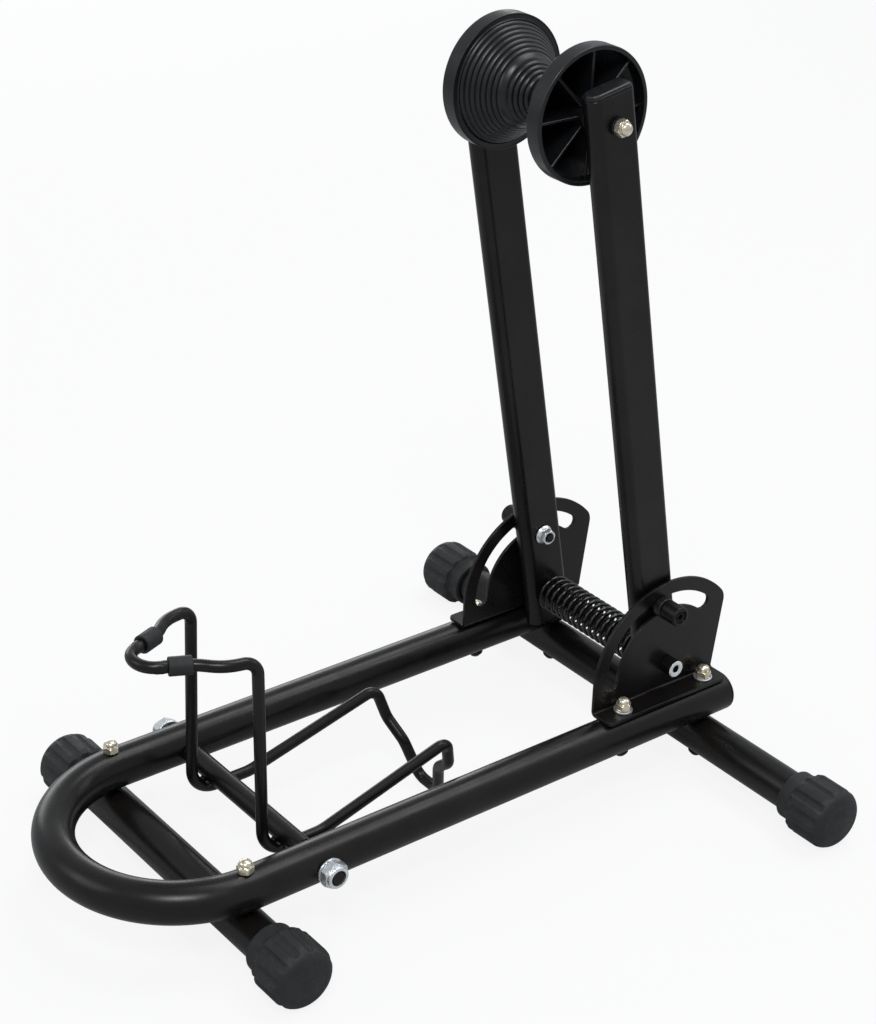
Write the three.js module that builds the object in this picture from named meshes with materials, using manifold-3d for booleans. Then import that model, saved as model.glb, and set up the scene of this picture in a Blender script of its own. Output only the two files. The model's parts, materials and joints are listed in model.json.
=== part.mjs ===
// Floor bike rack. A U-shaped tube lies flat on two cross feet. A sprung wire cradle takes the
// wheel at the open end of the hoop, and a folding mast with two cone rollers steadies the tyre.
// Millimetres, +Z up. +X runs from the bend of the U to the mast, -Y is the near side.
// Pieces are first placed from the centre of the bend, on the rails' own height. The whole rack is
// then moved so that its origin is the middle of its footprint, on the ground.
import * as THREE from "three";
import { mergeVertices } from "three/addons/utils/BufferGeometryUtils.js";
import Module from "manifold-3d";

const solids = await Module();
solids.setup();

// ---------------------------------------------------------------- driving dimensions
const GAP = 0.3; // clearance left between two pieces that bear on each other

// Base: one bent tube on two cross feet of the same tube
const TUBE_DIAMETER = 28;
const TUBE_WALL = 1.5;
const TUBE_SIDES = 16;
const RAIL_SPACING = 163.6; // between the two rails' centre lines
const RAIL_LENGTH = 400.6; // straight part of each rail
const BEND_STEPS = 12;
const TUBE_HOLE_SIDES = 6; // facets of a bolt hole through a tube
const PLUG_CROWN = 2.8; // how far an end plug stands out of its rail
const PLUG_DEPTH = 14;
const FRONT_FOOT_X = -3.5;
const REAR_FOOT_INSET = 18.1; // from the rails' cut ends
const FRONT_FOOT_SPAN = 304.6; // over both caps
const REAR_FOOT_SPAN = 447.4;

// Rubber cap on each end of a foot
const CAP_LENGTH = 45;
const CAP_DIAMETER = 44;
const CAP_END_WALL = 5;
const CAP_DOME = 8; // radius of the round edge
const CAP_DOME_STEPS = 2;
const CAP_CROWN = 1; // how far the middle of the end stands out
const COLLAR_DIAMETER = 35.2;
const COLLAR_LENGTH = 10;
const CAP_SHOULDER = 2; // length of the cone from the collar to the body
const GROOVE_COUNT = 12;
const GROOVE_WIDTH = 6;
const GROOVE_DEPTH = 1.5;
const GROOVE_SIDES = 6;
const CAP_FLAT = 0.5; // depth of the land that the cap stands on

// M6 bolts, nuts and washers
const BOLT_DIAMETER = 6;
const BOLT_HEAD_DIAMETER = 12;
const BOLT_HEAD_HEIGHT = 4.8;
const BOLT_HEAD_CROWN = 0.6; // share of the head that stays flat on top
const ACORN_FLATS = 10;
const ACORN_HEX_HEIGHT = 4.5;
const ACORN_HEIGHT = 8.5;
const ACORN_NECK = 1.4; // straight part between the hexagon and the dome
const ACORN_DOME_DIAMETER = 9;
const ACORN_DOME_STEPS = 3;
const ACORN_THREAD = 4.5; // length of a bolt that stands inside a domed nut
const WASHER_DIAMETER = 14;
const WASHER_THICKNESS = 1.2;
const ROUND_SIDES = 10; // facets round a small turned piece

// Hinge bracket on top of each rail
const BRACKET_INSET = 112.9; // from the rails' cut ends to its front edge
const BRACKET_BOLT_INSET = 93.3; // its other bolt goes through the rear foot
const SHEET = 2.6;
const FLANGE_WIDTH = 19.7; // outward from the web's inner face
const FLANGE_LENGTH = 110.6;
const FLANGE_CORNER = 4;
const WEB_INSET = 10.9; // from the rail's centre line to the web's inner face
const WEB_RADIUS = 65.6; // round the mast pivot
const WEB_CORNER = 12;
const WEB_REAR_LEAN = 7.1; // degrees
const SLOT_RADIUS = 50;
const SLOT_WIDTH = 11;
const SLOT_REAR_ANGLE = 52; // degrees above +X, seen from the near side
const SLOT_FRONT_ANGLE = 180;

// Mast pivot
const PIVOT_INSET = 47.5; // from the rails' cut ends
const PIVOT_ABOVE_SEAT = 20.8;
const SHAFT_DIAMETER = 12;
const SHAFT_BORE_DEPTH = 16;
const PIVOT_HEAD_DIAMETER = 13;
const PIVOT_HEAD_HEIGHT = 10.5;
const SPACER_THICKNESS = 1.8; // disc between an upright and its bracket
const SPACER_DIAMETER = 24;
const SOCKET_FLATS = 5;
const SOCKET_DEPTH = 4;
const HEAD_CHAMFER = 0.6;

// Mast uprights
const MAST_LEAN = 10.33; // degrees forward of upright
const UPRIGHT_WIDTH = 33.7;
const UPRIGHT_THICKNESS = 15;
const UPRIGHT_WALL = 1.5;
const UPRIGHT_REAR_CORNER = 4;
const UPRIGHT_BELOW_PIVOT = 26.5;
const UPRIGHT_ABOVE_AXLE = 19.6;
const AXLE_WASHER_DIAMETER = 11.5;
const AXLE_WASHER_THICKNESS = 2.4;
const TOP_LIP = 1.5;
const TOP_CROWN = 1.5;
const TOP_CROWN_INSET = 1.2;
const TOP_STEM = 12;

// Guide bolt in the slot of each bracket
const GUIDE_BUSH_DIAMETER = 10.2;
const GUIDE_COLLAR_DIAMETER = 15;
const GUIDE_COLLAR_HEIGHT = 5.5;
const GUIDE_HEAD_DIAMETER = 12.6;
const GUIDE_HEAD_HEIGHT = 14;
const FLANGE_NUT_DIAMETER = 14.2;
const FLANGE_NUT_FLATS = 10;
const FLANGE_NUT_HEIGHT = 7;
const FLANGE_NUT_SKIRT = 2.2;
const GUIDE_BOLT_END = 1.5; // how far the bolt stands out of its nut

// Spring on the pivot shaft
const SPRING_DIAMETER = 28;
const SPRING_WIRE = 3;
const SPRING_TURNS = 17;
const SPRING_HOOK_RADIUS = 3.2;
const CURL_STEPS = 8;
const CURL_SIDES = 5;

// Cone rollers
const AXLE_FROM_PIVOT = 408.3;
const ROLLER_DIAMETER = 88.6;
const ROLLER_WAIST = 24;
const ROLLER_RIM_WIDTH = 11.6;
const ROLLER_WALL = 3;
const ROLLER_HUB = 18;
const ROLLER_BOSS = 5.8; // how far the hub stands out behind the rim
const ROLLER_BOSS_DIAMETER = 12;
const ROLLER_SIDES = 20;
const ROLLER_RIBS = 8;
const RIB_TURN = 11.25; // degrees from the mast's rear edge to the first rib
const RIB_THICKNESS = 1.8;
const RIB_SINK = 3.5; // how far a rib stops below the rim
const RIB_ROOT = 1; // how far a rib runs into the hub, the cone and the rim
const CAVITY_FROM_WAIST = 12; // depth of solid plastic round the hub at the waist
const CONE_STEPS = 10; // ridges from the waist to the rim
const RIDGE_DRAFT = 0.3; // how far a ridge's side slopes out over its height
const RIM_LEDGE = 4; // flat ring between the outermost ridge and the rim

// Wheel cradle
const CRADLE_X = 50.2;
const ROD_DIAMETER = 10;
const SLEEVE_TUBE_DIAMETER = 14.4; // tube that turns on the rod between the rails
const ROD_NUT_FLATS = 17;
const ROD_NUT_HEIGHT = 8.3;
const ROD_NUT_HEX_HEIGHT = 6;
const ROD_NUT_COLLAR_DIAMETER = 15.6;
const ROD_WASHER_DIAMETER = 20;
const ROD_WASHER_THICKNESS = 1.5;
const WIRE_DIAMETER = 8;
const WIRE_SIDES = 8;
const SADDLE_DEPTH = 1; // how far the wire sinks into the tube that it is welded to
const WIRE_BEND_STEP = 30; // degrees between stations round a bend
const WIRE_SHIFT_Y = -3.1; // the cradle sits off the rack's centre line
const HOOP_HEIGHT = 133.3; // above the rod
const HOOP_LEG_X = -17.3;
const HOOP_LEG_LEAN = 1.1; // how far behind its foot the top of a leg is
const HOOP_HALF_WIDTH = 38.7;
const HOOP_SHOULDER = [21.6, 35.2]; // forward of the legs' tops, and half width
const HOOP_WAIST = [34.9, 22.2];
const HOOP_NECK = [52.3, 14.7];
const HOOP_NOSE = 64.4;
const HOOP_RISE = 2.2; // degrees, from the legs to the nose
const LEG_FOOT_HALF = 42.6;
const REAR_BEND_X = 28.5;
const REAR_LEG_REACH = 132.6;
const REAR_LEG_HEIGHT = 18.5; // of its far end, above the rod
const REAR_LEG_HALF = 40.7;
const VALLEY_SHOULDER = [35.5, 23.6]; // half width and depth below the rear leg's end
const VALLEY_NECK = [20, 36.9];
const VALLEY_FLOOR = [10.7, 65.2];
const HOOP_BENDS = { nose: 14.5, neck: 8, waist: 7, shoulder: 9, top: 9, foot: 18 };
const VALLEY_BENDS = { rise: 30, top: 8, shoulder: 12, neck: 14, floor: 10 };
const GRIP_DIAMETER = 12.6;
const GRIP_LENGTH = 17;
const GRIP_CHAMFER = 1;
const GRIP_PLACE = 0.48; // share of the way from the hoop's waist to its neck

// ---------------------------------------------------------------- derived sizes
const tubeRadius = TUBE_DIAMETER / 2;
const railY = RAIL_SPACING / 2;
const footZ = -(TUBE_DIAMETER + GAP);
const rearFootX = RAIL_LENGTH - REAR_FOOT_INSET;
const bracketX = RAIL_LENGTH - BRACKET_INSET;
const bracketBoltX = RAIL_LENGTH - BRACKET_BOLT_INSET;
const pivotX = RAIL_LENGTH - PIVOT_INSET;
const seatZ = tubeRadius + GAP; // underside of a bracket's flange
const flangeTop = seatZ + SHEET;
const pivotZ = seatZ + PIVOT_ABOVE_SEAT;
const webInner = railY - WEB_INSET;
const webOuter = webInner + SHEET;
const uprightOuter = webInner - SPACER_THICKNESS - 2 * GAP;
const uprightY = uprightOuter - UPRIGHT_THICKNESS / 2;
const uprightInner = uprightOuter - UPRIGHT_THICKNESS;
const rollerOuter = uprightInner - GAP - ROLLER_BOSS;
const boltHole = BOLT_DIAMETER + 2 * GAP;
const SIDES = { near: -1, far: 1 };

// ---------------------------------------------------------------- finishes
const FINISHES = {
  powderCoat: { color: 0x16171a, roughness: 0.38, metalness: 0.1 },
  springBlack: { color: 0x121315, roughness: 0.3, metalness: 0.5 },
  rubber: { color: 0x202124, roughness: 0.85, metalness: 0 },
  plastic: { color: 0x1b1c1e, roughness: 0.55, metalness: 0 },
  brightZinc: { color: 0xc9ccd0, roughness: 0.25, metalness: 1 },
  yellowZinc: { color: 0xcfc39a, roughness: 0.28, metalness: 1 },
  blackSteel: { color: 0x141414, roughness: 0.35, metalness: 0.8 },
};

// ---------------------------------------------------------------- helpers
const radians = THREE.MathUtils.degToRad;

// A closed mesh as a solid that can be cut and joined.
function solidOf(geometry) {
  const bare = new THREE.BufferGeometry();
  bare.setAttribute("position", geometry.getAttribute("position"));
  bare.setIndex(geometry.index);
  const merged = mergeVertices(bare, 1e-4);
  return new solids.Manifold(
    new solids.Mesh({
      numProp: 3,
      vertProperties: merged.attributes.position.array,
      triVerts: new Uint32Array(merged.index.array),
    }),
  );
}

function geometryOf(solid) {
  const mesh = solid.getMesh();
  const geometry = new THREE.BufferGeometry();
  geometry.setAttribute("position", new THREE.BufferAttribute(mesh.vertProperties.slice(), 3));
  geometry.setIndex(new THREE.BufferAttribute(mesh.triVerts.slice(), 1));
  return geometry;
}

function cut(body, ...tools) {
  return geometryOf(tools.reduce((left, tool) => left.subtract(solidOf(tool)), solidOf(body)));
}

function join(first, ...others) {
  return geometryOf(others.reduce((sum, other) => sum.add(solidOf(other)), solidOf(first)));
}

// The same geometry on the other side of the rack's middle plane.
function mirrored(geometry) {
  const copy = geometry.clone();
  copy.applyMatrix4(new THREE.Matrix4().makeScale(1, -1, 1));
  if (!copy.index) {
    copy.setIndex([...Array(copy.getAttribute("position").count).keys()]);
  }
  const order = copy.index.array;
  for (let i = 0; i < order.length; i += 3) {
    [order[i + 1], order[i + 2]] = [order[i + 2], order[i + 1]];
  }
  return copy;
}

// A piece made for the far side, or its mirror image for the near side.
function onSide(side, geometry) {
  return side > 0 ? geometry : mirrored(geometry);
}

// A facet prism's radius, so that its flats lie at the stated radius and not its corners.
function overFlats(radius, sides) {
  return radius / Math.cos(Math.PI / sides);
}

// A straight round bar along Y from one height to the other.
function barY(radius, from, to, sides = ROUND_SIDES) {
  const bar = new THREE.CylinderGeometry(radius, radius, to - from, sides);
  bar.translate(0, (from + to) / 2, 0);
  return bar;
}

// A straight round hole along Y, whose flats keep the full radius.
function holeY(diameter, from, to, sides = ROUND_SIDES) {
  return barY(overFlats(diameter / 2, sides), from, to, sides);
}

// Turned about Y from a list of [radius, height], listed up the outside.
function turned(profile, sides = ROUND_SIDES) {
  const points = profile.map(([radius, height]) => new THREE.Vector2(radius, height));
  return new THREE.LatheGeometry(points, sides);
}

// Takes a piece made along +Y and stands it along +Z.
function upright(geometry) {
  return geometry.rotateX(Math.PI / 2);
}

function arc(x, y, radius, fromDegrees, toDegrees, steps) {
  const points = [];
  for (let i = 0; i <= steps; i += 1) {
    const angle = radians(fromDegrees + ((toDegrees - fromDegrees) * i) / steps);
    points.push(new THREE.Vector2(x + radius * Math.cos(angle), y + radius * Math.sin(angle)));
  }
  return points;
}

function circleShape(radius, sides) {
  return new THREE.Shape(arc(0, 0, radius, 0, 360 - 360 / sides, sides - 1));
}

// A flat plate drawn in X and Z, from y to y + thickness.
function plate(shape, y, thickness) {
  const body = new THREE.ExtrudeGeometry(shape, { depth: thickness, bevelEnabled: false });
  body.rotateX(Math.PI / 2);
  body.translate(0, y + thickness, 0);
  return body;
}

// A path that is known at its stations only: each has a point and a direction.
class StationPath extends THREE.Curve {
  constructor(stations) {
    super();
    this.stations = stations;
  }

  stationAt(share) {
    return this.stations[Math.round(share * (this.stations.length - 1))];
  }

  getPoint(share, target = new THREE.Vector3()) {
    return target.copy(this.stationAt(share).point);
  }

  getPointAt(share, target) {
    return this.getPoint(share, target);
  }

  getTangentAt(share, target = new THREE.Vector3()) {
    return target.copy(this.stationAt(share).direction);
  }
}

// Stations of a bent wire or tube: straight between corners, with each corner rounded.
function bentStations(corners, stepDegrees) {
  const stations = [];
  const last = corners.length - 1;
  const way = (a, b) => b.at.clone().sub(a.at).normalize();
  stations.push({ point: corners[0].at.clone(), direction: way(corners[0], corners[1]) });
  for (let i = 1; i < last; i += 1) {
    const before = way(corners[i - 1], corners[i]);
    const after = way(corners[i], corners[i + 1]);
    const turn = before.angleTo(after);
    const radius = corners[i].radius;
    const start = corners[i].at.clone().addScaledVector(before, -radius * Math.tan(turn / 2));
    const inward = after.clone().addScaledVector(before, -before.dot(after)).normalize();
    const steps = Math.max(1, Math.ceil(THREE.MathUtils.radToDeg(turn) / stepDegrees));
    for (let k = 0; k <= steps; k += 1) {
      const angle = (turn * k) / steps;
      const point = start
        .clone()
        .addScaledVector(before, radius * Math.sin(angle))
        .addScaledVector(inward, radius * (1 - Math.cos(angle)));
      const direction = before
        .clone()
        .multiplyScalar(Math.cos(angle))
        .addScaledVector(inward, Math.sin(angle));
      stations.push({ point, direction });
    }
  }
  const direction = way(corners[last - 1], corners[last]);
  stations.push({ point: corners[last].at.clone(), direction });
  return stations;
}

function sweep(shape, stations) {
  return new THREE.ExtrudeGeometry(shape, {
    extrudePath: new StationPath(stations),
    steps: stations.length - 1,
  });
}

function piece(parent, name, finish, geometry) {
  const faceted = geometry.index ? geometry.toNonIndexed() : geometry;
  faceted.computeVertexNormals();
  const mesh = new THREE.Mesh(faceted, new THREE.MeshStandardMaterial(FINISHES[finish]));
  mesh.name = name;
  parent.add(mesh);
  return mesh;
}

function subAssembly(parent, x, z) {
  const group = new THREE.Group();
  group.position.set(x, 0, z);
  parent.add(group);
  return group;
}

// ---------------------------------------------------------------- fasteners
// Pan-head bolt along Z. Its head sits under zSeat and its shank ends at zTop.
function panBolt(x, y, zSeat, zTop) {
  const shank = BOLT_DIAMETER / 2;
  const head = BOLT_HEAD_DIAMETER / 2;
  const bolt = turned([
    [0, zSeat - BOLT_HEAD_HEIGHT],
    [head * BOLT_HEAD_CROWN, zSeat - BOLT_HEAD_HEIGHT],
    [head, zSeat - BOLT_HEAD_HEIGHT / 2],
    [head, zSeat],
    [shank, zSeat],
    [shank, zTop],
    [0, zTop],
  ]);
  return upright(bolt).translate(x, y, 0);
}

// Domed nut along +Y from height 0, with a blind bore.
function acornNut() {
  const hex = barY(overFlats(ACORN_FLATS / 2, 6), 0, ACORN_HEX_HEIGHT, 6);
  const foot = ACORN_DOME_DIAMETER / 2;
  const domeFrom = ACORN_HEX_HEIGHT + ACORN_NECK;
  const profile = [[0, ACORN_HEX_HEIGHT / 2], [foot, ACORN_HEX_HEIGHT / 2]];
  for (let i = 0; i < ACORN_DOME_STEPS; i += 1) {
    const angle = ((Math.PI / 2) * i) / ACORN_DOME_STEPS;
    const height = domeFrom + (ACORN_HEIGHT - domeFrom) * Math.sin(angle);
    profile.push([foot * Math.cos(angle), height]);
  }
  const dome = turned([...profile, [0, ACORN_HEIGHT]]);
  return cut(join(hex, dome), holeY(boltHole, -1, ACORN_THREAD + 2 * GAP));
}

function washer(outer, inner, thickness) {
  const bore = overFlats(inner / 2, ROUND_SIDES);
  return turned([
    [bore, 0],
    [outer / 2, 0],
    [outer / 2, thickness],
    [bore, thickness],
    [bore, 0],
  ]);
}

// ---------------------------------------------------------------- base
function makeFrameTube() {
  const start = new THREE.Vector3(RAIL_LENGTH, -railY, 0);
  const stations = [{ point: start, direction: new THREE.Vector3(-1, 0, 0) }];
  for (let i = 0; i <= BEND_STEPS; i += 1) {
    const angle = Math.PI * (1.5 - i / BEND_STEPS);
    stations.push({
      point: new THREE.Vector3(railY * Math.cos(angle), railY * Math.sin(angle), 0),
      direction: new THREE.Vector3(Math.sin(angle), -Math.cos(angle), 0),
    });
  }
  stations.push({
    point: new THREE.Vector3(RAIL_LENGTH, railY, 0),
    direction: new THREE.Vector3(1, 0, 0),
  });
  const section = circleShape(tubeRadius, TUBE_SIDES);
  section.holes.push(circleShape(tubeRadius - TUBE_WALL, TUBE_SIDES));
  const holes = [];
  for (const side of Object.values(SIDES)) {
    for (const x of [FRONT_FOOT_X, bracketBoltX, rearFootX]) {
      const hole = holeY(boltHole, -TUBE_DIAMETER, TUBE_DIAMETER, TUBE_HOLE_SIDES);
      holes.push(upright(hole).translate(x, side * railY, 0));
    }
    const rodHole = holeY(ROD_DIAMETER + 2 * GAP, -TUBE_DIAMETER, TUBE_DIAMETER, ROUND_SIDES);
    holes.push(rodHole.translate(CRADLE_X, side * railY, 0));
  }
  return cut(sweep(section, stations), ...holes);
}

// Plastic plug in the cut end of a rail: a low crown outside and a stem inside.
function makeEndPlug(side) {
  const stem = tubeRadius - TUBE_WALL - GAP;
  const plug = turned(
    [
      [0, -PLUG_DEPTH],
      [stem, -PLUG_DEPTH],
      [stem, GAP],
      [tubeRadius, GAP],
      [tubeRadius, PLUG_CROWN / 2],
      [tubeRadius - PLUG_CROWN, PLUG_CROWN],
      [0, PLUG_CROWN],
    ],
    TUBE_SIDES,
  );
  return plug.rotateZ(-Math.PI / 2).translate(RAIL_LENGTH, side * railY, 0);
}

function makeFoot(x, span) {
  const half = span / 2 - CAP_END_WALL - GAP;
  const outer = barY(tubeRadius, -half, half, TUBE_SIDES);
  const bore = barY(tubeRadius - TUBE_WALL, -half - 1, half + 1, TUBE_SIDES);
  const hole = upright(holeY(boltHole, -TUBE_DIAMETER, TUBE_DIAMETER, TUBE_HOLE_SIDES));
  const holes = Object.values(SIDES).map((side) => hole.clone().translate(0, side * railY, 0));
  return cut(outer, bore, ...holes).translate(x, 0, footZ);
}

// Fluted rubber cap along +Y, whose tip is at half the foot's span.
function makeCap(x, span, side) {
  const outer = CAP_DIAMETER / 2;
  const collar = COLLAR_DIAMETER / 2;
  const bore = overFlats(tubeRadius + GAP, TUBE_SIDES);
  const shoulder = COLLAR_LENGTH + CAP_SHOULDER;
  const domeFrom = CAP_LENGTH - CAP_CROWN - CAP_DOME;
  const profile = [
    [0, CAP_LENGTH - CAP_END_WALL],
    [bore, CAP_LENGTH - CAP_END_WALL],
    [bore, 0],
    [collar, 0],
    [collar, COLLAR_LENGTH],
    [outer, shoulder],
  ];
  for (const point of arc(outer - CAP_DOME, domeFrom, CAP_DOME, 0, 90, CAP_DOME_STEPS)) {
    profile.push(point.toArray());
  }
  const body = turned([...profile, [0, CAP_LENGTH]], GROOVE_COUNT * 2);
  const length = domeFrom - shoulder;
  const radius = GROOVE_WIDTH / 2;
  const grooves = [];
  for (let i = 0; i < GROOVE_COUNT; i += 1) {
    const angle = ((i + 0.5) * 2 * Math.PI) / GROOVE_COUNT;
    const groove = new THREE.CapsuleGeometry(radius, length - 2 * radius, 1, GROOVE_SIDES);
    groove.translate(0, shoulder + length / 2, outer - GROOVE_DEPTH + radius);
    grooves.push(groove.rotateY(angle));
  }
  const floor = new THREE.BoxGeometry(CAP_DIAMETER, 3 * CAP_LENGTH, CAP_DIAMETER);
  floor.translate(0, 0, -(outer - CAP_FLAT) - CAP_DIAMETER / 2);
  const cap = cut(body, ...grooves, floor);
  cap.translate(x, span / 2 - CAP_LENGTH, footZ);
  return onSide(side, cap);
}

// ---------------------------------------------------------------- hinge brackets
// Web drawn round the pivot: straight front edge, round top, small rear corner, leaning rear edge.
function webShape() {
  const inner = WEB_RADIUS - WEB_CORNER;
  const normal = -WEB_REAR_LEAN;
  const bottom = seatZ - pivotZ;
  const rearBottom = bracketX + FLANGE_LENGTH - pivotX;
  const toEdge = Math.cos(radians(normal)) * rearBottom + Math.sin(radians(normal)) * bottom;
  const cornerAngle = THREE.MathUtils.radToDeg(Math.acos((toEdge - WEB_CORNER) / inner)) + normal;
  const cornerX = inner * Math.cos(radians(cornerAngle));
  const cornerZ = inner * Math.sin(radians(cornerAngle));
  return new THREE.Shape([
    new THREE.Vector2(-WEB_RADIUS, bottom),
    new THREE.Vector2(rearBottom, bottom),
    ...arc(cornerX, cornerZ, WEB_CORNER, normal, cornerAngle, 5),
    ...arc(0, 0, WEB_RADIUS, cornerAngle, 180, 16).slice(1),
  ]);
}

function slotOutline() {
  const half = SLOT_WIDTH / 2;
  const end = (angle, from) =>
    arc(SLOT_RADIUS * Math.cos(angle), SLOT_RADIUS * Math.sin(angle), half, from, from + 180, 6);
  return [
    ...arc(0, 0, SLOT_RADIUS + half, SLOT_REAR_ANGLE, SLOT_FRONT_ANGLE, 14),
    ...end(radians(SLOT_FRONT_ANGLE), SLOT_FRONT_ANGLE).slice(1),
    ...arc(0, 0, SLOT_RADIUS - half, SLOT_FRONT_ANGLE, SLOT_REAR_ANGLE, 14).slice(1),
    ...end(radians(SLOT_REAR_ANGLE), SLOT_REAR_ANGLE + 180).slice(1, -1),
  ];
}

function makeBracket(side) {
  const shape = webShape();
  shape.holes.push(new THREE.Path(slotOutline()));
  shape.holes.push(circleShape(overFlats(boltHole / 2, ROUND_SIDES), ROUND_SIDES));
  const web = plate(shape, webInner, SHEET).translate(pivotX, 0, pivotZ);

  const far = webInner + FLANGE_WIDTH;
  const front = pivotX - WEB_RADIUS;
  const rear = bracketX + FLANGE_LENGTH;
  const corner = FLANGE_CORNER;
  const flangeShape = new THREE.Shape([
    new THREE.Vector2(front, webInner),
    new THREE.Vector2(rear, webInner),
    ...arc(rear - corner, far - corner, corner, 0, 90, 4),
    ...arc(front + corner, far - corner, corner, 90, 180, 4),
  ]);
  const flange = new THREE.ExtrudeGeometry(flangeShape, { depth: SHEET, bevelEnabled: false });
  flange.translate(0, 0, seatZ);
  const holes = [bracketBoltX, rearFootX].map((x) =>
    upright(holeY(boltHole, seatZ - 1, flangeTop + 1)).translate(x, railY, 0),
  );
  return onSide(side, cut(join(web, flange), ...holes));
}

// Plain shaft between the brackets, bored at each end for a pivot screw.
function makePivotShaft() {
  const half = webInner - GAP;
  const bores = Object.values(SIDES).map((side) => {
    const ends = [side * (half - SHAFT_BORE_DEPTH), side * (half + 1)].sort((a, b) => a - b);
    return holeY(boltHole, ...ends);
  });
  return cut(barY(SHAFT_DIAMETER / 2, -half, half, TUBE_SIDES), ...bores);
}

// Cap screw along +Y: shank up to the seat, then a round head with a hexagon socket.
function capScrew(shankFrom, seat, diameter, height) {
  const top = seat + height;
  const shank = BOLT_DIAMETER / 2;
  const body = turned([
    [0, shankFrom],
    [shank, shankFrom],
    [shank, seat],
    [diameter / 2, seat],
    [diameter / 2, top - HEAD_CHAMFER],
    [diameter / 2 - HEAD_CHAMFER, top],
    [0, top],
  ]);
  return cut(body, barY(overFlats(SOCKET_FLATS / 2, 6), top - SOCKET_DEPTH, top + 1, 6));
}

// ---------------------------------------------------------------- mast
// Outline of an upright's tube: a round front edge and two small rear corners.
function uprightOutline(inset) {
  const half = UPRIGHT_WIDTH / 2 - inset;
  const front = UPRIGHT_THICKNESS / 2 - inset;
  const rear = UPRIGHT_REAR_CORNER - inset;
  return [
    ...arc(-half + front, 0, front, 90, 270, 8),
    ...arc(half - rear, -front + rear, rear, 270, 360, 3),
    ...arc(half - rear, front - rear, rear, 0, 90, 3),
  ];
}

function makeUpright(side) {
  const shape = new THREE.Shape(uprightOutline(0));
  shape.holes.push(new THREE.Path(uprightOutline(UPRIGHT_WALL)));
  const top = AXLE_FROM_PIVOT + UPRIGHT_ABOVE_AXLE;
  const depth = top + UPRIGHT_BELOW_PIVOT;
  const tube = new THREE.ExtrudeGeometry(shape, { depth, bevelEnabled: false });
  tube.translate(0, 0, -UPRIGHT_BELOW_PIVOT);
  const across = [-UPRIGHT_THICKNESS, UPRIGHT_THICKNESS];
  const cuts = [
    holeY(SHAFT_DIAMETER + 2 * GAP, ...across, TUBE_SIDES),
    holeY(boltHole, ...across).translate(0, 0, SLOT_RADIUS),
    holeY(boltHole, ...across).translate(0, 0, AXLE_FROM_PIVOT),
  ];
  return cut(tube, ...cuts).translate(0, side * uprightY, 0);
}

// Plastic cap on top of an upright: a lip the size of the tube, a low crown and a stem.
function makeTopCap(side) {
  const slab = (inset, from, to) => {
    const shape = new THREE.Shape(uprightOutline(inset));
    const body = new THREE.ExtrudeGeometry(shape, { depth: to - from, bevelEnabled: false });
    return body.translate(0, 0, from);
  };
  const lipTop = GAP + TOP_LIP;
  const stem = slab(UPRIGHT_WALL + GAP, -TOP_STEM, lipTop - TOP_LIP / 2);
  const lip = slab(0, GAP, lipTop);
  const crown = slab(TOP_CROWN_INSET, lipTop - TOP_LIP / 2, lipTop + TOP_CROWN);
  const cap = join(stem, lip, crown);
  return cap.translate(0, side * uprightY, AXLE_FROM_PIVOT + UPRIGHT_ABOVE_AXLE);
}

// The bush slides in the bracket's slot, and its collar keeps the bracket beside the upright.
function makeGuideCollar(side) {
  const bore = overFlats(boltHole / 2, ROUND_SIDES);
  const bush = GUIDE_BUSH_DIAMETER / 2;
  const collar = GUIDE_COLLAR_DIAMETER / 2;
  const face = webOuter + GAP;
  const body = turned([
    [bore, uprightOuter + GAP],
    [bush, uprightOuter + GAP],
    [bush, face],
    [collar, face],
    [collar, face + GUIDE_COLLAR_HEIGHT],
    [bore, face + GUIDE_COLLAR_HEIGHT],
    [bore, uprightOuter + GAP],
  ]);
  return onSide(side, body.translate(0, 0, SLOT_RADIUS));
}

function makeGuideBolt(side) {
  const seat = webOuter + 2 * GAP + GUIDE_COLLAR_HEIGHT;
  const end = uprightInner - GAP - FLANGE_NUT_HEIGHT - GUIDE_BOLT_END;
  const bolt = capScrew(end, seat, GUIDE_HEAD_DIAMETER, GUIDE_HEAD_HEIGHT);
  return onSide(side, bolt.translate(0, 0, SLOT_RADIUS));
}

function makeGuideNut(side) {
  const face = uprightInner - GAP;
  const flange = FLANGE_NUT_DIAMETER / 2;
  const hexCorner = overFlats(FLANGE_NUT_FLATS / 2, 6);
  const skirt = turned([
    [0, face - FLANGE_NUT_SKIRT],
    [hexCorner, face - FLANGE_NUT_SKIRT],
    [flange, face - FLANGE_NUT_SKIRT / 2],
    [flange, face],
    [0, face],
  ]);
  const hex = barY(hexCorner, face - FLANGE_NUT_HEIGHT, face - FLANGE_NUT_SKIRT / 2, 6);
  const nut = cut(join(skirt, hex), holeY(boltHole, face - 2 * FLANGE_NUT_HEIGHT, face + 1));
  return onSide(side, nut.translate(0, 0, SLOT_RADIUS));
}

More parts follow.
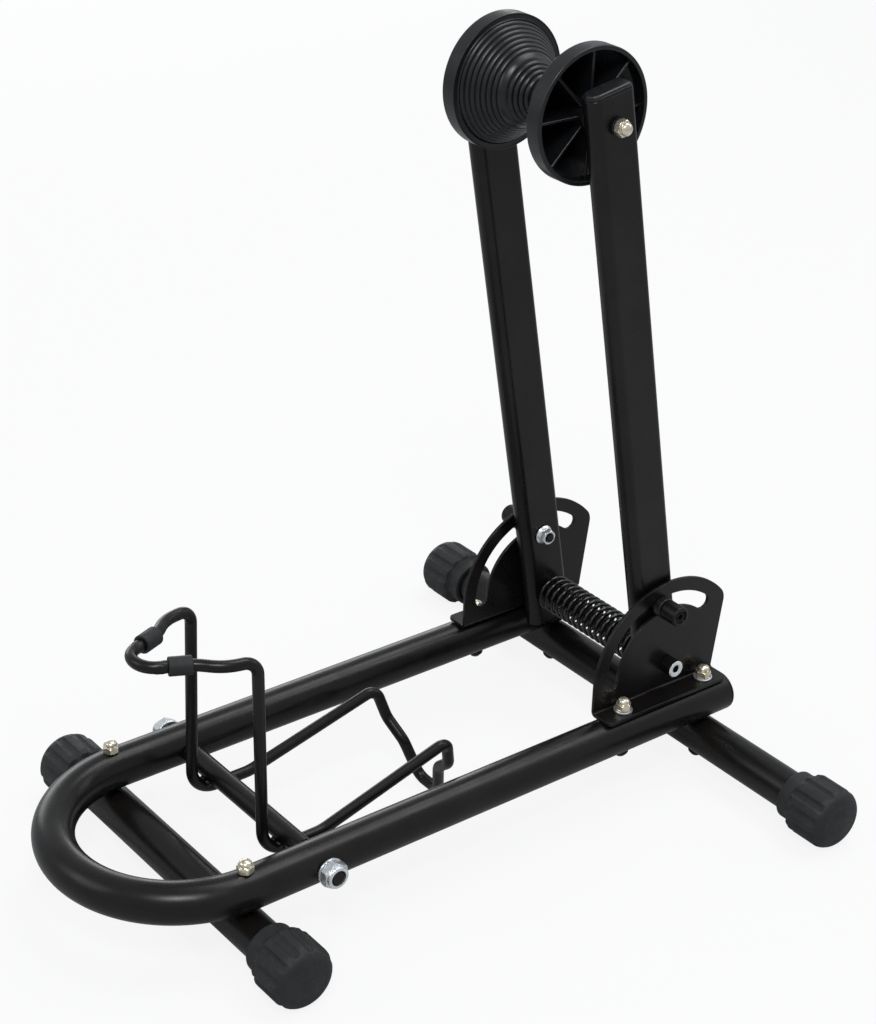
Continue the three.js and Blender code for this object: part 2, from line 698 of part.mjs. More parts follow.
// ---------------------------------------------------------------- spring
// Centre line of the spring: an even helix whose two ends hook in, square to the shaft.
function springStations() {
  const radius = (SPRING_DIAMETER - SPRING_WIRE) / 2;
  const half = uprightInner - GAP - SPRING_WIRE / 2;
  const rise = (2 * half) / SPRING_TURNS;
  const steps = SPRING_TURNS * CURL_STEPS;
  const climb = rise / (2 * Math.PI * radius);
  const helix = [];
  for (let i = 0; i <= steps; i += 1) {
    const angle = (2 * Math.PI * i) / CURL_STEPS;
    const out = new THREE.Vector3(Math.cos(angle), 0, Math.sin(angle));
    const along = new THREE.Vector3(-Math.sin(angle), climb, Math.cos(angle)).normalize();
    const point = out.clone().multiplyScalar(radius).setY(-half + (rise * i) / CURL_STEPS);
    helix.push({ point, direction: along, out });
  }
  // A quarter bend from the last turn towards the shaft, then one wire diameter straight.
  const hook = (end, forward) => {
    const inward = end.out.clone().negate();
    const onward = end.direction.clone().setY(0).multiplyScalar(forward).normalize();
    const stations = [45, 90].map((degrees) => {
      const angle = radians(degrees);
      const point = end.point
        .clone()
        .addScaledVector(onward, SPRING_HOOK_RADIUS * Math.sin(angle))
        .addScaledVector(inward, SPRING_HOOK_RADIUS * (1 - Math.cos(angle)));
      const direction = onward
        .clone()
        .multiplyScalar(Math.cos(angle))
        .addScaledVector(inward, Math.sin(angle));
      return { point, direction };
    });
    const point = stations[1].point.clone().addScaledVector(inward, SPRING_WIRE);
    stations.push({ point, direction: inward });
    return stations;
  };
  const head = hook(helix[0], -1)
    .reverse()
    .map(({ point, direction }) => ({ point, direction: direction.negate() }));
  return [...head, ...helix, ...hook(helix[steps], 1)];
}

// One unbroken tube through the stations, closed at both ends.
function ringTube(stations, radius, sides) {
  const frames = new StationPath(stations).computeFrenetFrames(stations.length - 1, false);
  const positions = [];
  stations.forEach(({ point }, ring) => {
    for (let k = 0; k < sides; k += 1) {
      const angle = (2 * Math.PI * k) / sides;
      const corner = point
        .clone()
        .addScaledVector(frames.normals[ring], radius * Math.cos(angle))
        .addScaledVector(frames.binormals[ring], radius * Math.sin(angle));
      positions.push(...corner.toArray());
    }
  });
  const faces = [];
  const last = (stations.length - 1) * sides;
  for (let ring = 0; ring < last; ring += sides) {
    for (let k = 0; k < sides; k += 1) {
      const a = ring + k;
      const b = ring + ((k + 1) % sides);
      faces.push(a, b, b + sides, a, b + sides, a + sides);
    }
  }
  for (let k = 1; k < sides - 1; k += 1) {
    faces.push(0, k + 1, k);
    faces.push(last, last + k, last + k + 1);
  }
  const tube = new THREE.BufferGeometry();
  tube.setAttribute("position", new THREE.Float32BufferAttribute(positions, 3));
  tube.setIndex(faces);
  return tube;
}

// Least gap between stretches of the wire that are not next to each other along it.
function leastGap(stations, wire) {
  const apart = CURL_STEPS / 2;
  let least = Infinity;
  for (let i = 0; i < stations.length; i += 1) {
    for (let j = i + apart; j < stations.length; j += 1) {
      least = Math.min(least, stations[i].point.distanceTo(stations[j].point));
    }
  }
  return least - wire;
}

function makeSpring() {
  const stations = springStations();
  console.log(`spring: least gap to itself ${leastGap(stations, SPRING_WIRE).toFixed(2)} mm`);
  return ringTube(stations, SPRING_WIRE / 2, CURL_SIDES);
}

// ---------------------------------------------------------------- rollers
// Ridged cone, waist at the rack's middle plane, rim at the upright, open at the back, with a
// boss on its hub that keeps the rim clear of the upright.
function makeRoller(side) {
  const rim = ROLLER_DIAMETER / 2;
  const waist = ROLLER_WAIST / 2;
  const hub = ROLLER_HUB / 2;
  const boss = ROLLER_BOSS_DIAMETER / 2;
  const bore = overFlats(boltHole / 2, ROLLER_SIDES);
  const front = GAP / 2;
  const rimFrom = rollerOuter - ROLLER_RIM_WIDTH;
  const coneRadius = rim - RIM_LEDGE - waist;
  const tread = coneRadius / CONE_STEPS;
  const drop = (rimFrom - front) / CONE_STEPS;
  const profile = [[bore, front], [waist, front]];
  for (let i = 0; i < CONE_STEPS; i += 1) {
    const height = front + drop * (i + 1);
    const radius = waist + tread * i;
    profile.push([radius + RIDGE_DRAFT, height]);
    profile.push([radius + tread, height]);
  }
  const backWall = rollerOuter - ROLLER_RIM_WIDTH + ROLLER_WALL;
  const cavityFloor = front + CAVITY_FROM_WAIST;
  const cavityRadius = rim - ROLLER_WALL;
  profile.push(
    [rim, rimFrom],
    [rim, rollerOuter],
    [cavityRadius, rollerOuter],
    [cavityRadius, backWall],
    [hub, cavityFloor],
    [hub, rollerOuter],
    [boss, rollerOuter],
    [boss, rollerOuter + ROLLER_BOSS],
    [bore, rollerOuter + ROLLER_BOSS],
    [bore, front],
  );
  const cone = turned(profile, ROLLER_SIDES);
  const ribs = [];
  for (let i = 0; i < ROLLER_RIBS; i += 1) {
    const ribTop = rollerOuter - RIB_SINK;
    const ribShape = new THREE.Shape([
      new THREE.Vector2(hub - RIB_ROOT, cavityFloor - RIB_ROOT),
      new THREE.Vector2(cavityRadius, backWall - RIB_ROOT),
      new THREE.Vector2(cavityRadius + RIB_ROOT, backWall),
      new THREE.Vector2(cavityRadius + RIB_ROOT, ribTop),
      new THREE.Vector2(hub - RIB_ROOT, ribTop),
    ]);
    const rib = new THREE.ExtrudeGeometry(ribShape, { depth: RIB_THICKNESS, bevelEnabled: false });
    rib.translate(0, 0, -RIB_THICKNESS / 2);
    ribs.push(rib.rotateY(radians(RIB_TURN) + (2 * Math.PI * i) / ROLLER_RIBS));
  }
  return onSide(side, join(cone, ...ribs).translate(0, 0, AXLE_FROM_PIVOT));
}

// ---------------------------------------------------------------- wheel cradle
// Corners of half of the cradle's wire, from the hoop's nose to the valley's floor.
function cradleCorners() {
  const under = SADDLE_DEPTH - (SLEEVE_TUBE_DIAMETER + WIRE_DIAMETER) / 2;
  const topX = HOOP_LEG_X + HOOP_LEG_LEAN;
  const onHoop = ([forward, half]) =>
    new THREE.Vector3(topX - forward, half, HOOP_HEIGHT + forward * Math.tan(radians(HOOP_RISE)));
  const rise = Math.atan2(REAR_LEG_HEIGHT - under, REAR_LEG_REACH - REAR_BEND_X);
  const inValley = ([half, depth]) =>
    new THREE.Vector3(
      REAR_LEG_REACH + depth * Math.sin(rise),
      half,
      REAR_LEG_HEIGHT - depth * Math.cos(rise),
    );
  return [
    { at: onHoop([HOOP_NOSE, 0]) },
    { at: onHoop([HOOP_NOSE, HOOP_NECK[1]]), radius: HOOP_BENDS.nose },
    { at: onHoop(HOOP_NECK), radius: HOOP_BENDS.neck },
    { at: onHoop(HOOP_WAIST), radius: HOOP_BENDS.waist },
    { at: onHoop(HOOP_SHOULDER), radius: HOOP_BENDS.shoulder },
    { at: onHoop([0, HOOP_HALF_WIDTH]), radius: HOOP_BENDS.top },
    { at: new THREE.Vector3(HOOP_LEG_X, LEG_FOOT_HALF, under), radius: HOOP_BENDS.foot },
    { at: new THREE.Vector3(REAR_BEND_X, LEG_FOOT_HALF, under), radius: VALLEY_BENDS.rise },
    { at: inValley([REAR_LEG_HALF, 0]), radius: VALLEY_BENDS.top },
    { at: inValley(VALLEY_SHOULDER), radius: VALLEY_BENDS.shoulder },
    { at: inValley(VALLEY_NECK), radius: VALLEY_BENDS.neck },
    { at: inValley(VALLEY_FLOOR), radius: VALLEY_BENDS.floor },
    { at: inValley([0, VALLEY_FLOOR[1]]) },
  ];
}

// The wire, or the same path at a larger radius.
function cradleWire(radius) {
  const section = circleShape(radius, WIRE_SIDES);
  const half = sweep(section, bentStations(cradleCorners(), WIRE_BEND_STEP));
  return join(half, mirrored(half)).translate(0, WIRE_SHIFT_Y, 0);
}

// Tube that turns on the rod, with a shallow saddle for each leg of the wire.
function makeTurnTube(end) {
  const tube = barY(SLEEVE_TUBE_DIAMETER / 2, -end, end, TUBE_SIDES);
  const bore = holeY(ROD_DIAMETER + 2 * GAP, -railY, railY);
  return cut(tube, bore, cradleWire(overFlats(WIRE_DIAMETER / 2 + GAP, WIRE_SIDES)));
}

// Rubber grip on the hoop's side, between its waist and its neck.
function makeGrip(side) {
  const [, , { at: neck }, { at: waist }] = cradleCorners();
  const bore = overFlats(WIRE_DIAMETER / 2 + GAP, ROUND_SIDES);
  const outer = GRIP_DIAMETER / 2;
  const half = GRIP_LENGTH / 2;
  const grip = turned([
    [bore, -half],
    [outer - GRIP_CHAMFER, -half],
    [outer, GRIP_CHAMFER - half],
    [outer, half - GRIP_CHAMFER],
    [outer - GRIP_CHAMFER, half],
    [bore, half],
    [bore, -half],
  ]);
  const along = neck.clone().sub(waist).normalize();
  const turn = new THREE.Quaternion().setFromUnitVectors(new THREE.Vector3(0, 1, 0), along);
  grip.applyQuaternion(turn);
  grip.translate(...waist.clone().lerp(neck, GRIP_PLACE).toArray());
  return onSide(side, grip).translate(0, WIRE_SHIFT_Y, 0);
}

// Nut with a nylon ring, along +Y from height 0.
function lockNut() {
  const hex = barY(overFlats(ROD_NUT_FLATS / 2, 6), 0, ROD_NUT_HEX_HEIGHT, 6);
  const collar = barY(ROD_NUT_COLLAR_DIAMETER / 2, ROD_NUT_HEX_HEIGHT / 2, ROD_NUT_HEIGHT);
  return cut(join(hex, collar), holeY(ROD_DIAMETER + 2 * GAP, -1, ROD_NUT_HEIGHT + 1));
}

// ---------------------------------------------------------------- assembly
const rack = new THREE.Group();
rack.name = "floor_bike_rack";

const base = subAssembly(rack, 0, 0);
piece(base, "u_frame", "powderCoat", makeFrameTube());
piece(base, "front_foot", "powderCoat", makeFoot(FRONT_FOOT_X, FRONT_FOOT_SPAN));
piece(base, "rear_foot", "powderCoat", makeFoot(rearFootX, REAR_FOOT_SPAN));
piece(base, "pivot_shaft", "blackSteel", makePivotShaft().translate(pivotX, 0, pivotZ));

const mast = subAssembly(rack, pivotX, pivotZ);
mast.rotation.y = -radians(MAST_LEAN);
piece(mast, "pivot_spring", "springBlack", makeSpring());

const axleNutSeat = uprightOuter + 2 * GAP + AXLE_WASHER_THICKNESS;
const axleEnd = axleNutSeat + ACORN_THREAD;
const axle = barY(BOLT_DIAMETER / 2, -axleEnd, axleEnd).translate(0, 0, AXLE_FROM_PIVOT);
piece(mast, "roller_axle", "blackSteel", axle);

const rodWasherFace = railY + tubeRadius + GAP;
const rodNutFace = rodWasherFace + ROD_WASHER_THICKNESS + GAP;
const rodEnd = rodNutFace + ROD_NUT_HEIGHT - GAP;
const turnTubeEnd = railY - tubeRadius - GAP;
const rod = barY(ROD_DIAMETER / 2, -rodEnd, rodEnd).translate(CRADLE_X, 0, 0);
piece(base, "cradle_rod", "blackSteel", rod);

const cradle = subAssembly(rack, CRADLE_X, 0);
piece(cradle, "cradle_tube", "powderCoat", makeTurnTube(turnTubeEnd));
piece(cradle, "cradle_wire", "powderCoat", cradleWire(WIRE_DIAMETER / 2));

for (const [where, side] of Object.entries(SIDES)) {
  piece(base, `rail_plug_${where}`, "plastic", makeEndPlug(side));
  piece(base, `front_cap_${where}`, "rubber", makeCap(FRONT_FOOT_X, FRONT_FOOT_SPAN, side));
  piece(base, `rear_cap_${where}`, "rubber", makeCap(rearFootX, REAR_FOOT_SPAN, side));
  piece(base, `bracket_${where}`, "powderCoat", makeBracket(side));

  // Bolts: where each stands, what its head bears on, and what its nut bears on
  const underFoot = footZ - tubeRadius - GAP;
  const onFlange = flangeTop + 2 * GAP + WASHER_THICKNESS;
  const bolts = [
    ["foot", FRONT_FOOT_X, underFoot, tubeRadius + GAP],
    ["bracket_front", bracketBoltX, -tubeRadius - GAP, onFlange],
    ["bracket_rear", rearFootX, underFoot, onFlange],
  ];
  for (const [place, x, headSeat, nutSeat] of bolts) {
    const y = side * railY;
    const bolt = panBolt(x, y, headSeat, nutSeat + ACORN_THREAD);
    const nut = upright(acornNut()).translate(x, y, nutSeat);
    piece(base, `${place}_bolt_${where}`, "blackSteel", bolt);
    piece(base, `${place}_nut_${where}`, "yellowZinc", nut);
  }
  for (const [place, x] of [["front", bracketBoltX], ["rear", rearFootX]]) {
    const ring = upright(washer(WASHER_DIAMETER, boltHole, WASHER_THICKNESS));
    ring.translate(x, side * railY, flangeTop + GAP);
    piece(base, `bracket_${place}_washer_${where}`, "brightZinc", ring);
  }

  const pivotSeat = webOuter + GAP;
  const screwFrom = webInner - GAP - SHAFT_BORE_DEPTH + BOLT_DIAMETER / 2;
  const pivotScrew = capScrew(screwFrom, pivotSeat, PIVOT_HEAD_DIAMETER, PIVOT_HEAD_HEIGHT);
  pivotScrew.translate(pivotX, 0, pivotZ);
  piece(base, `pivot_screw_${where}`, "brightZinc", onSide(side, pivotScrew));

  const spacer = washer(SPACER_DIAMETER, SHAFT_DIAMETER + 2 * GAP, SPACER_THICKNESS);
  spacer.translate(0, uprightOuter + GAP, 0);
  piece(mast, `pivot_spacer_${where}`, "plastic", onSide(side, spacer));
  piece(mast, `upright_${where}`, "powderCoat", makeUpright(side));
  piece(mast, `upright_cap_${where}`, "plastic", makeTopCap(side));
  piece(mast, `guide_collar_${where}`, "plastic", makeGuideCollar(side));
  piece(mast, `guide_bolt_${where}`, "blackSteel", makeGuideBolt(side));
  piece(mast, `guide_nut_${where}`, "brightZinc", makeGuideNut(side));

  const axleWasher = washer(AXLE_WASHER_DIAMETER, boltHole, AXLE_WASHER_THICKNESS);
  axleWasher.translate(0, uprightOuter + GAP, AXLE_FROM_PIVOT);
  piece(mast, `axle_washer_${where}`, "plastic", onSide(side, axleWasher));
  const axleNut = acornNut().translate(0, axleNutSeat, AXLE_FROM_PIVOT);
  piece(mast, `axle_nut_${where}`, "yellowZinc", onSide(side, axleNut));
  piece(mast, `roller_${where}`, "plastic", makeRoller(side));

  const rodWasher = washer(ROD_WASHER_DIAMETER, ROD_DIAMETER + 2 * GAP, ROD_WASHER_THICKNESS);
  rodWasher.translate(CRADLE_X, rodWasherFace, 0);
  piece(base, `rod_washer_${where}`, "brightZinc", onSide(side, rodWasher));
  const rodNut = lockNut().translate(CRADLE_X, rodNutFace, 0);
  piece(base, `rod_nut_${where}`, "brightZinc", onSide(side, rodNut));
  piece(cradle, `hoop_grip_${where}`, "rubber", makeGrip(side));
}

// Origin: the middle of the footprint, on the ground
rack.updateMatrixWorld(true);
const outline = new THREE.Box3().setFromObject(rack, true);
const middle = outline.getCenter(new THREE.Vector3());
rack.position.set(-middle.x, -middle.y, -outline.min.z);

export default rack;
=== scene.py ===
"""Floor bike rack: the finished surfaces of every piece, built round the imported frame.

A bent tube stands on two cross feet with fluted rubber caps. A wire cradle turns on a rod between the
rails, and a mast with two ridged cone rollers turns in two slotted brackets. Metres, +Z up, -Y is near.
"""

import json
import math

import bmesh
import bpy
from bpy.props import FloatProperty, FloatVectorProperty, IntProperty, PointerProperty
from mathutils import Matrix, Vector
from mathutils.geometry import delaunay_2d_cdt


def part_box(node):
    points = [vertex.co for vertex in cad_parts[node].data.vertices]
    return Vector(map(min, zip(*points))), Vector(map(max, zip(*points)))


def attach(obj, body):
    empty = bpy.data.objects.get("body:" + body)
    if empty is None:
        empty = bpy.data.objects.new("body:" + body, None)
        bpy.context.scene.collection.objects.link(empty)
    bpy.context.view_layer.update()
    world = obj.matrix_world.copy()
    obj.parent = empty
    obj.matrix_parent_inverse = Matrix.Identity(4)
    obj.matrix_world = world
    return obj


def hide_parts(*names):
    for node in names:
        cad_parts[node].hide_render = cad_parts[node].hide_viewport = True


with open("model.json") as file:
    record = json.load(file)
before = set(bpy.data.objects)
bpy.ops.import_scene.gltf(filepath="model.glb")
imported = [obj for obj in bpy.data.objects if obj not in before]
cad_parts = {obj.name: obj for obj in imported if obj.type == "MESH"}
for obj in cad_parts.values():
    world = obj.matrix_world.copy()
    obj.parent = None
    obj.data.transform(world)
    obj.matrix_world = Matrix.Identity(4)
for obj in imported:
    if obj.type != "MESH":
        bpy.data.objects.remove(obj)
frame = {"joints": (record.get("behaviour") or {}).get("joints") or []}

bl_info = {
    "name": "Floor Bike Rack",
    "version": (1, 0, 0),
    "blender": (4, 5, 0),
    "location": "3D View > Sidebar > Bike Rack",
    "description": "Builds the pieces, finishes and studio of a floor bike rack",
    "category": "Add Mesh",
}

MM = 0.001
SIDES = (("near", -1), ("far", 1))
SMOOTH_ANGLE = math.radians(32)
ROUND = 64  # facets round a small turned piece
BIG_ROUND = 144  # facets round a large one
CLEAR = 0.3 * MM  # room between two pieces that bear on each other
SHANK = 6 * MM  # diameter of an M6 shank
LOOSE_BORE = 3.4 * MM  # radius of a plain bore round an M6 shank
WASHER_BORE = 6.4 * MM

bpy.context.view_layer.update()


# ---------------------------------------------------------------- places taken from the frame
def middle(node):
    """The centre of a CAD node's box."""
    low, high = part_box(node)
    return (low + high) / 2


def extent(node):
    """The size of a CAD node's box."""
    low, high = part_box(node)
    return high - low


JOINTS = {joint["name"]: Vector(joint["pos_m"]) for joint in frame["joints"]}
PIVOT = JOINTS["mast_pivot"]
TILT = JOINTS["cradle_tilt"]
AXLE = Vector((JOINTS["roller_far_spin"].x, 0, JOINTS["roller_far_spin"].z))
MAST_LEAN = math.atan2(PIVOT.x - AXLE.x, AXLE.z - PIVOT.z)
MAST = Matrix.Translation(PIVOT) @ Matrix.Rotation(-MAST_LEAN, 4, "Y")
AXLE_HEIGHT = (AXLE - PIVOT).length
TUBE_RADIUS = extent("front_foot").z / 2
RAIL_Z = middle("u_frame").z
RAIL_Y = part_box("u_frame")[1].y - TUBE_RADIUS
RAIL_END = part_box("u_frame")[1].x
BEND_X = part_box("u_frame")[0].x + TUBE_RADIUS + RAIL_Y
UPRIGHT_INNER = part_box("upright_far")[0].y
UPRIGHT_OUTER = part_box("upright_far")[1].y
WEB_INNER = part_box("bracket_far")[0].y
SEAT_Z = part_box("bracket_far")[0].z


# ---------------------------------------------------------------- sizes and colours
def linear(code):
    """An sRGB hex colour as linear RGB."""
    parts = [int(code[i : i + 2], 16) / 255 for i in (1, 3, 5)]
    return tuple(c / 12.92 if c <= 0.04045 else ((c + 0.055) / 1.055) ** 2.4 for c in parts)


def length(name, about, millimetres, low=0.0):
    """A length property, given in millimetres and kept in metres."""
    return FloatProperty(
        name=name, description=about, default=millimetres * MM, min=low * MM, unit="LENGTH", precision=5
    )


def degrees(name, about, value):
    """An angle property, given in degrees and kept in radians."""
    return FloatProperty(name=name, description=about, default=math.radians(value), subtype="ANGLE")


def colour(name, about, code):
    """A colour property, given as an sRGB hex value."""
    return FloatVectorProperty(
        name=name, description=about, default=linear(code), size=3, min=0.0, max=1.0, subtype="COLOR"
    )


class RackBaseSizes(bpy.types.PropertyGroup):
    """Tubes, caps and hinge brackets of the base"""

    wall: length("Tube wall", "Thickness of the tubes' steel", 1.5)
    tube_edge: length("Tube edge", "Rounding of a tube's cut end", 0.4)
    plug_crown: length("Plug crown", "How far a plug stands out of its rail", 2.8)
    cap_collar: length("Cap collar", "Diameter of the cap's plain collar", 35.2)
    cap_collar_length: length("Collar length", "Length of the cap's plain collar", 10)
    cap_shoulder: length("Cap shoulder", "Length of the step from collar to body", 2.2)
    cap_dome: length("Cap edge", "Radius of the cap's round edge", 9.5)
    cap_crown: length("Cap crown", "How far the middle of the cap's end stands out", 1.6)
    flutes: IntProperty(name="Flutes", description="Grooves round a cap", default=12, min=3)
    flute_width: length("Flute width", "Width of a groove in a cap", 6)
    flute_depth: length("Flute depth", "Depth of a groove in a cap", 1.8)
    sheet: length("Bracket sheet", "Thickness of the brackets' steel", 2.6)
    web_radius: length("Web radius", "Radius of a bracket's web round the pivot", 65.6)
    web_corner: length("Web corner", "Radius of the web's rear corner", 12)
    web_lean: degrees("Web lean", "Lean of the web's rear edge", 7.1)
    flange_corner: length("Flange corner", "Radius of the flange's corners", 4)
    fold_radius: length("Fold radius", "Outer radius of the fold between flange and web", 4)
    slot_radius: length("Slot radius", "Radius of the curved slot round the pivot", 50)
    slot_width: length("Slot width", "Width of the curved slot", 11)
    slot_start: degrees("Slot start", "Rear end of the slot", 52)
    flange_rear: length("Flange rear", "How far behind the pivot the flange ends", 45.2)
    sheet_edge: length("Sheet edge", "Rounding of the sheet's cut edges", 0.5)


class RackMastSizes(bpy.types.PropertyGroup):
    """Uprights, spring and rollers of the mast"""

    width: length("Upright width", "Width of an upright from front to rear", 33.7)
    wall: length("Upright wall", "Thickness of an upright's steel", 1.5)
    rear_corner: length("Rear corner", "Radius of an upright's rear corners", 4)
    below_pivot: length("Below pivot", "How far an upright reaches below the pivot", 26.5)
    above_axle: length("Above axle", "How far an upright reaches above the axle", 19.6)
    cap_lip: length("Top cap lip", "Height of the lip of an upright's cap", 1.5)
    cap_crown: length("Top cap crown", "Height of the crown of an upright's cap", 1.5)
    spring_diameter: length("Spring diameter", "Outer diameter of the spring", 28)
    spring_wire: length("Spring wire", "Diameter of the spring's wire", 3)
    spring_turns: IntProperty(name="Spring turns", description="Turns of the spring", default=17, min=2)
    spring_hook: length("Spring hook", "Bend radius of the spring's hooked ends", 3.2)
    roller_waist: length("Roller waist", "Diameter of a roller's small end", 24)
    roller_rim: length("Roller rim", "Width of a roller's rim band", 11.6)
    roller_wall: length("Roller wall", "Thickness of a roller's wall", 3)
    roller_hub: length("Roller hub", "Diameter of a roller's hub", 18)
    roller_boss: length("Roller boss", "Diameter of the boss behind the hub", 12)
    ledge: length("Roller ledge", "Width of the flat ring inside the rim", 4)
    step_rise: length("Step rise", "How far a step on the cone bulges, and how deep its groove is", 0.65)
    ribs: IntProperty(name="Ribs", description="Ribs behind a roller's cone", default=8, min=3)
    rib_thickness: length("Rib thickness", "Thickness of a rib", 1.8)
    rib_sink: length("Rib sink", "How far a rib stops below the rim", 3.5)
    rib_turn: degrees("Rib turn", "Place of the first rib", 11.25)


class RackCradleSizes(bpy.types.PropertyGroup):
    """Bent wire that holds the wheel, seen from the rod that it turns on"""

    wire: length("Wire", "Diameter of the cradle's wire", 8)
    sink: length("Weld sink", "How far the wire sinks into its tube", 1)
    shift: length("Shift", "Place of the cradle's middle along Y", -3.1, low=-20)
    hoop_height: length("Hoop height", "Height of the hoop's top above the rod", 133.3)
    hoop_leg: length("Hoop leg", "How far forward of the rod a leg stands", 17.3)
    hoop_lean: length("Hoop lean", "How far behind its foot the top of a leg is", 1.1)
    hoop_half: length("Hoop half width", "Half width at the top of the legs", 38.7)
    hoop_nose: length("Hoop nose", "How far forward of the legs the hoop reaches", 64.4)
    hoop_rise: degrees("Hoop rise", "Rise towards the nose", 2.2)
    foot_half: length("Foot half width", "Half width under the tube", 42.6)
    rear_bend: length("Rear bend", "How far behind the rod the rear legs turn up", 28.5)
    rear_reach: length("Rear reach", "How far behind the rod the rear legs reach", 132.6)
    rear_height: length("Rear height", "Height of the rear legs' ends above the rod", 18.5)
    rear_half: length("Rear half width", "Half width at the rear legs' ends", 40.7)
    grip_place: FloatProperty(
        name="Grip place", description="Share of the way from waist to neck", default=0.48, min=0, max=1
    )
    grip_edge: length("Grip edge", "Rounding of a grip's ends", 0.7)


class RackColours(bpy.types.PropertyGroup):
    """Colours of the finishes"""

    coat: colour("Powder coat", "Black polyester powder coat", "#0e0c0b")
    coat_worn: colour("Powder coat, handled", "The same coat where hands and boxes rubbed it", "#191614")
    enamel: colour("Spring enamel", "Gloss black enamel on the spring", "#0a0a0b")
    oxide: colour("Black oxide", "Oiled black oxide on the bolts", "#121112")
    zinc: colour("Bright zinc", "Clear zinc plate", "#f0f3f5")
    zinc_bloom: colour("Zinc bloom", "Grey bloom on clear zinc plate", "#d3d9de")
    yellow_zinc: colour("Yellow zinc", "Pale yellow chromate on zinc plate", "#e9e2d0")
    straw: colour("Straw", "Greener straw that the yellow drifts to", "#cfc4a6")
    plastic: colour("Polypropylene", "Moulded black polypropylene", "#101113")
    plastic_flow: colour("Flow marks", "Paler marks where the polypropylene flowed", "#16171a")
    rubber: colour("Rubber", "Moulded black rubber", "#17181a")
    rubber_chalk: colour("Rubber bloom", "Chalky bloom on the rubber", "#1f2022")
    floor: colour("Floor", "Studio floor", "#ededee")


# ---------------------------------------------------------------- shapes
# A shape is a list of points and a list of faces that index them.
def soften(corners, steps=4, closed=False):
    """A flat line through corners of (x, y) or (x, y, radius), with each radius as an arc."""
    line = []
    last = len(corners) - 1
    for i, corner in enumerate(corners):
        point = Vector(corner[:2])
        radius = corner[2] if len(corner) > 2 else 0
        if radius == 0 or (not closed and i in (0, last)):
            line.append(point)
            continue
        back = Vector(corners[i - 1][:2]) - point
        on = Vector(corners[(i + 1) % len(corners)][:2]) - point
        half = back.angle(on) / 2
        reach = min(radius / math.tan(half), back.length / 2, on.length / 2)
        radius = reach * math.tan(half)
        centre = point + (back.normalized() + on.normalized()).normalized() * radius / math.sin(half)
        start = point + back.normalized() * reach - centre
        end = point + on.normalized() * reach - centre
        turn = start.angle_signed(end)
        for k in range(steps + 1):
            angle = -turn * k / steps
            line.append(centre + Matrix.Rotation(angle, 2) @ start)
    return line


def skin(loops, ring=False, caps=True):
    """A surface over closed loops of equally many points. ring joins the last loop to the first."""
    count = len(loops[0])
    points = [point for loop in loops for point in loop]
    faces = []
    rows = len(loops) if ring else len(loops) - 1
    for row in range(rows):
        here = row * count
        there = ((row + 1) % len(loops)) * count
        for k in range(count):
            following = (k + 1) % count
            faces.append((here + k, here + following, there + following, there + k))
    if caps and not ring:
        faces.append(tuple(range(count)))
        faces.append(tuple(reversed(range(len(points) - count, len(points)))))
    return points, faces


def turned(profile, sides=ROUND, form=None, ring=False):
    """Turned about +Y from (radius, height). form(radius, height, angle) may change the radius."""
    loops = []
    for radius, height in profile:
        loop = []
        for k in range(sides):
            angle = 2 * math.pi * k / sides
            reach = form(radius, height, angle) if form else radius
            loop.append(Vector((reach * math.cos(angle), height, reach * math.sin(angle))))
        loops.append(loop)
    return skin(loops, ring=ring)


def placed(shape, matrix):
    """A shape moved by a matrix."""
    points, faces = shape
    return [matrix @ point for point in points], faces


def joined(*shapes):
    """Several shapes as one."""
    points, faces = [], []
    for more_points, more_faces in shapes:
        start = len(points)
        points += more_points
        faces += [tuple(start + i for i in face) for face in more_faces]
    return points, faces


def bend(corners, step=math.radians(6)):
    """A line in space through corners of (point, radius), with each corner rounded."""
    line = [corners[0][0]]
    for (before, _), (corner, radius), (after, _) in zip(corners, corners[1:], corners[2:]):
        come = (corner - before).normalized()
        go = (after - corner).normalized()
        turn = come.angle(go)
        start = corner - come * radius * math.tan(turn / 2)
        inward = (go - come * come.dot(go)).normalized()
        steps = max(2, math.ceil(turn / step))
        for k in range(steps + 1):
            angle = turn * k / steps
            line.append(start + come * radius * math.sin(angle) + inward * radius * (1 - math.cos(angle)))
    line.append(corners[-1][0])
    return line


def ring_at(point, across, up, radius, sides=ROUND):
    """A circle of points round a point."""
    angles = [2 * math.pi * k / sides for k in range(sides)]
    return [point + (across * math.cos(a) + up * math.sin(a)) * radius for a in angles]


def hollow_tube(line, radius, wall, edge):
    """A tube with a bore along a line in a level plane, with rounded cut ends."""
    last = len(line) - 1
    stations = []
    for i, point in enumerate(line):
        forward = (line[min(i + 1, last)] - line[max(i - 1, 0)]).normalized()
        stations.append((point, forward, Vector((0, 0, 1)).cross(forward)))
    up = Vector((0, 0, 1))

    def rim(station, sign):
        point, forward, across = station
        inset = point - forward * sign * edge
        return [ring_at(inset, across, up, radius), ring_at(point, across, up, radius - edge)]

    inner = radius - wall
    first, final = stations[0], stations[-1]
    loops = rim(first, -1)[::-1]
    loops += [ring_at(point, across, up, radius) for point, _, across in stations[1:-1]]
    loops += rim(final, 1)
    loops += [ring_at(point, across, up, inner) for point, _, across in reversed(stations)]
    return skin(loops, ring=True)


def hex_form(flats, top):
    """Cuts six flats on what is turned, up to the height top."""

    def form(radius, height, angle):
        if height > top:
            return radius
        wedge = math.pi / 3
        return min(radius, flats / 2 / math.cos((angle % wedge) - wedge / 2))

    return form


def along_z(x, y, z):
    """Stands a shape made along +Y on end at a place."""
    return Matrix.Translation((x, y, z)) @ Matrix.Rotation(math.pi / 2, 4, "X")


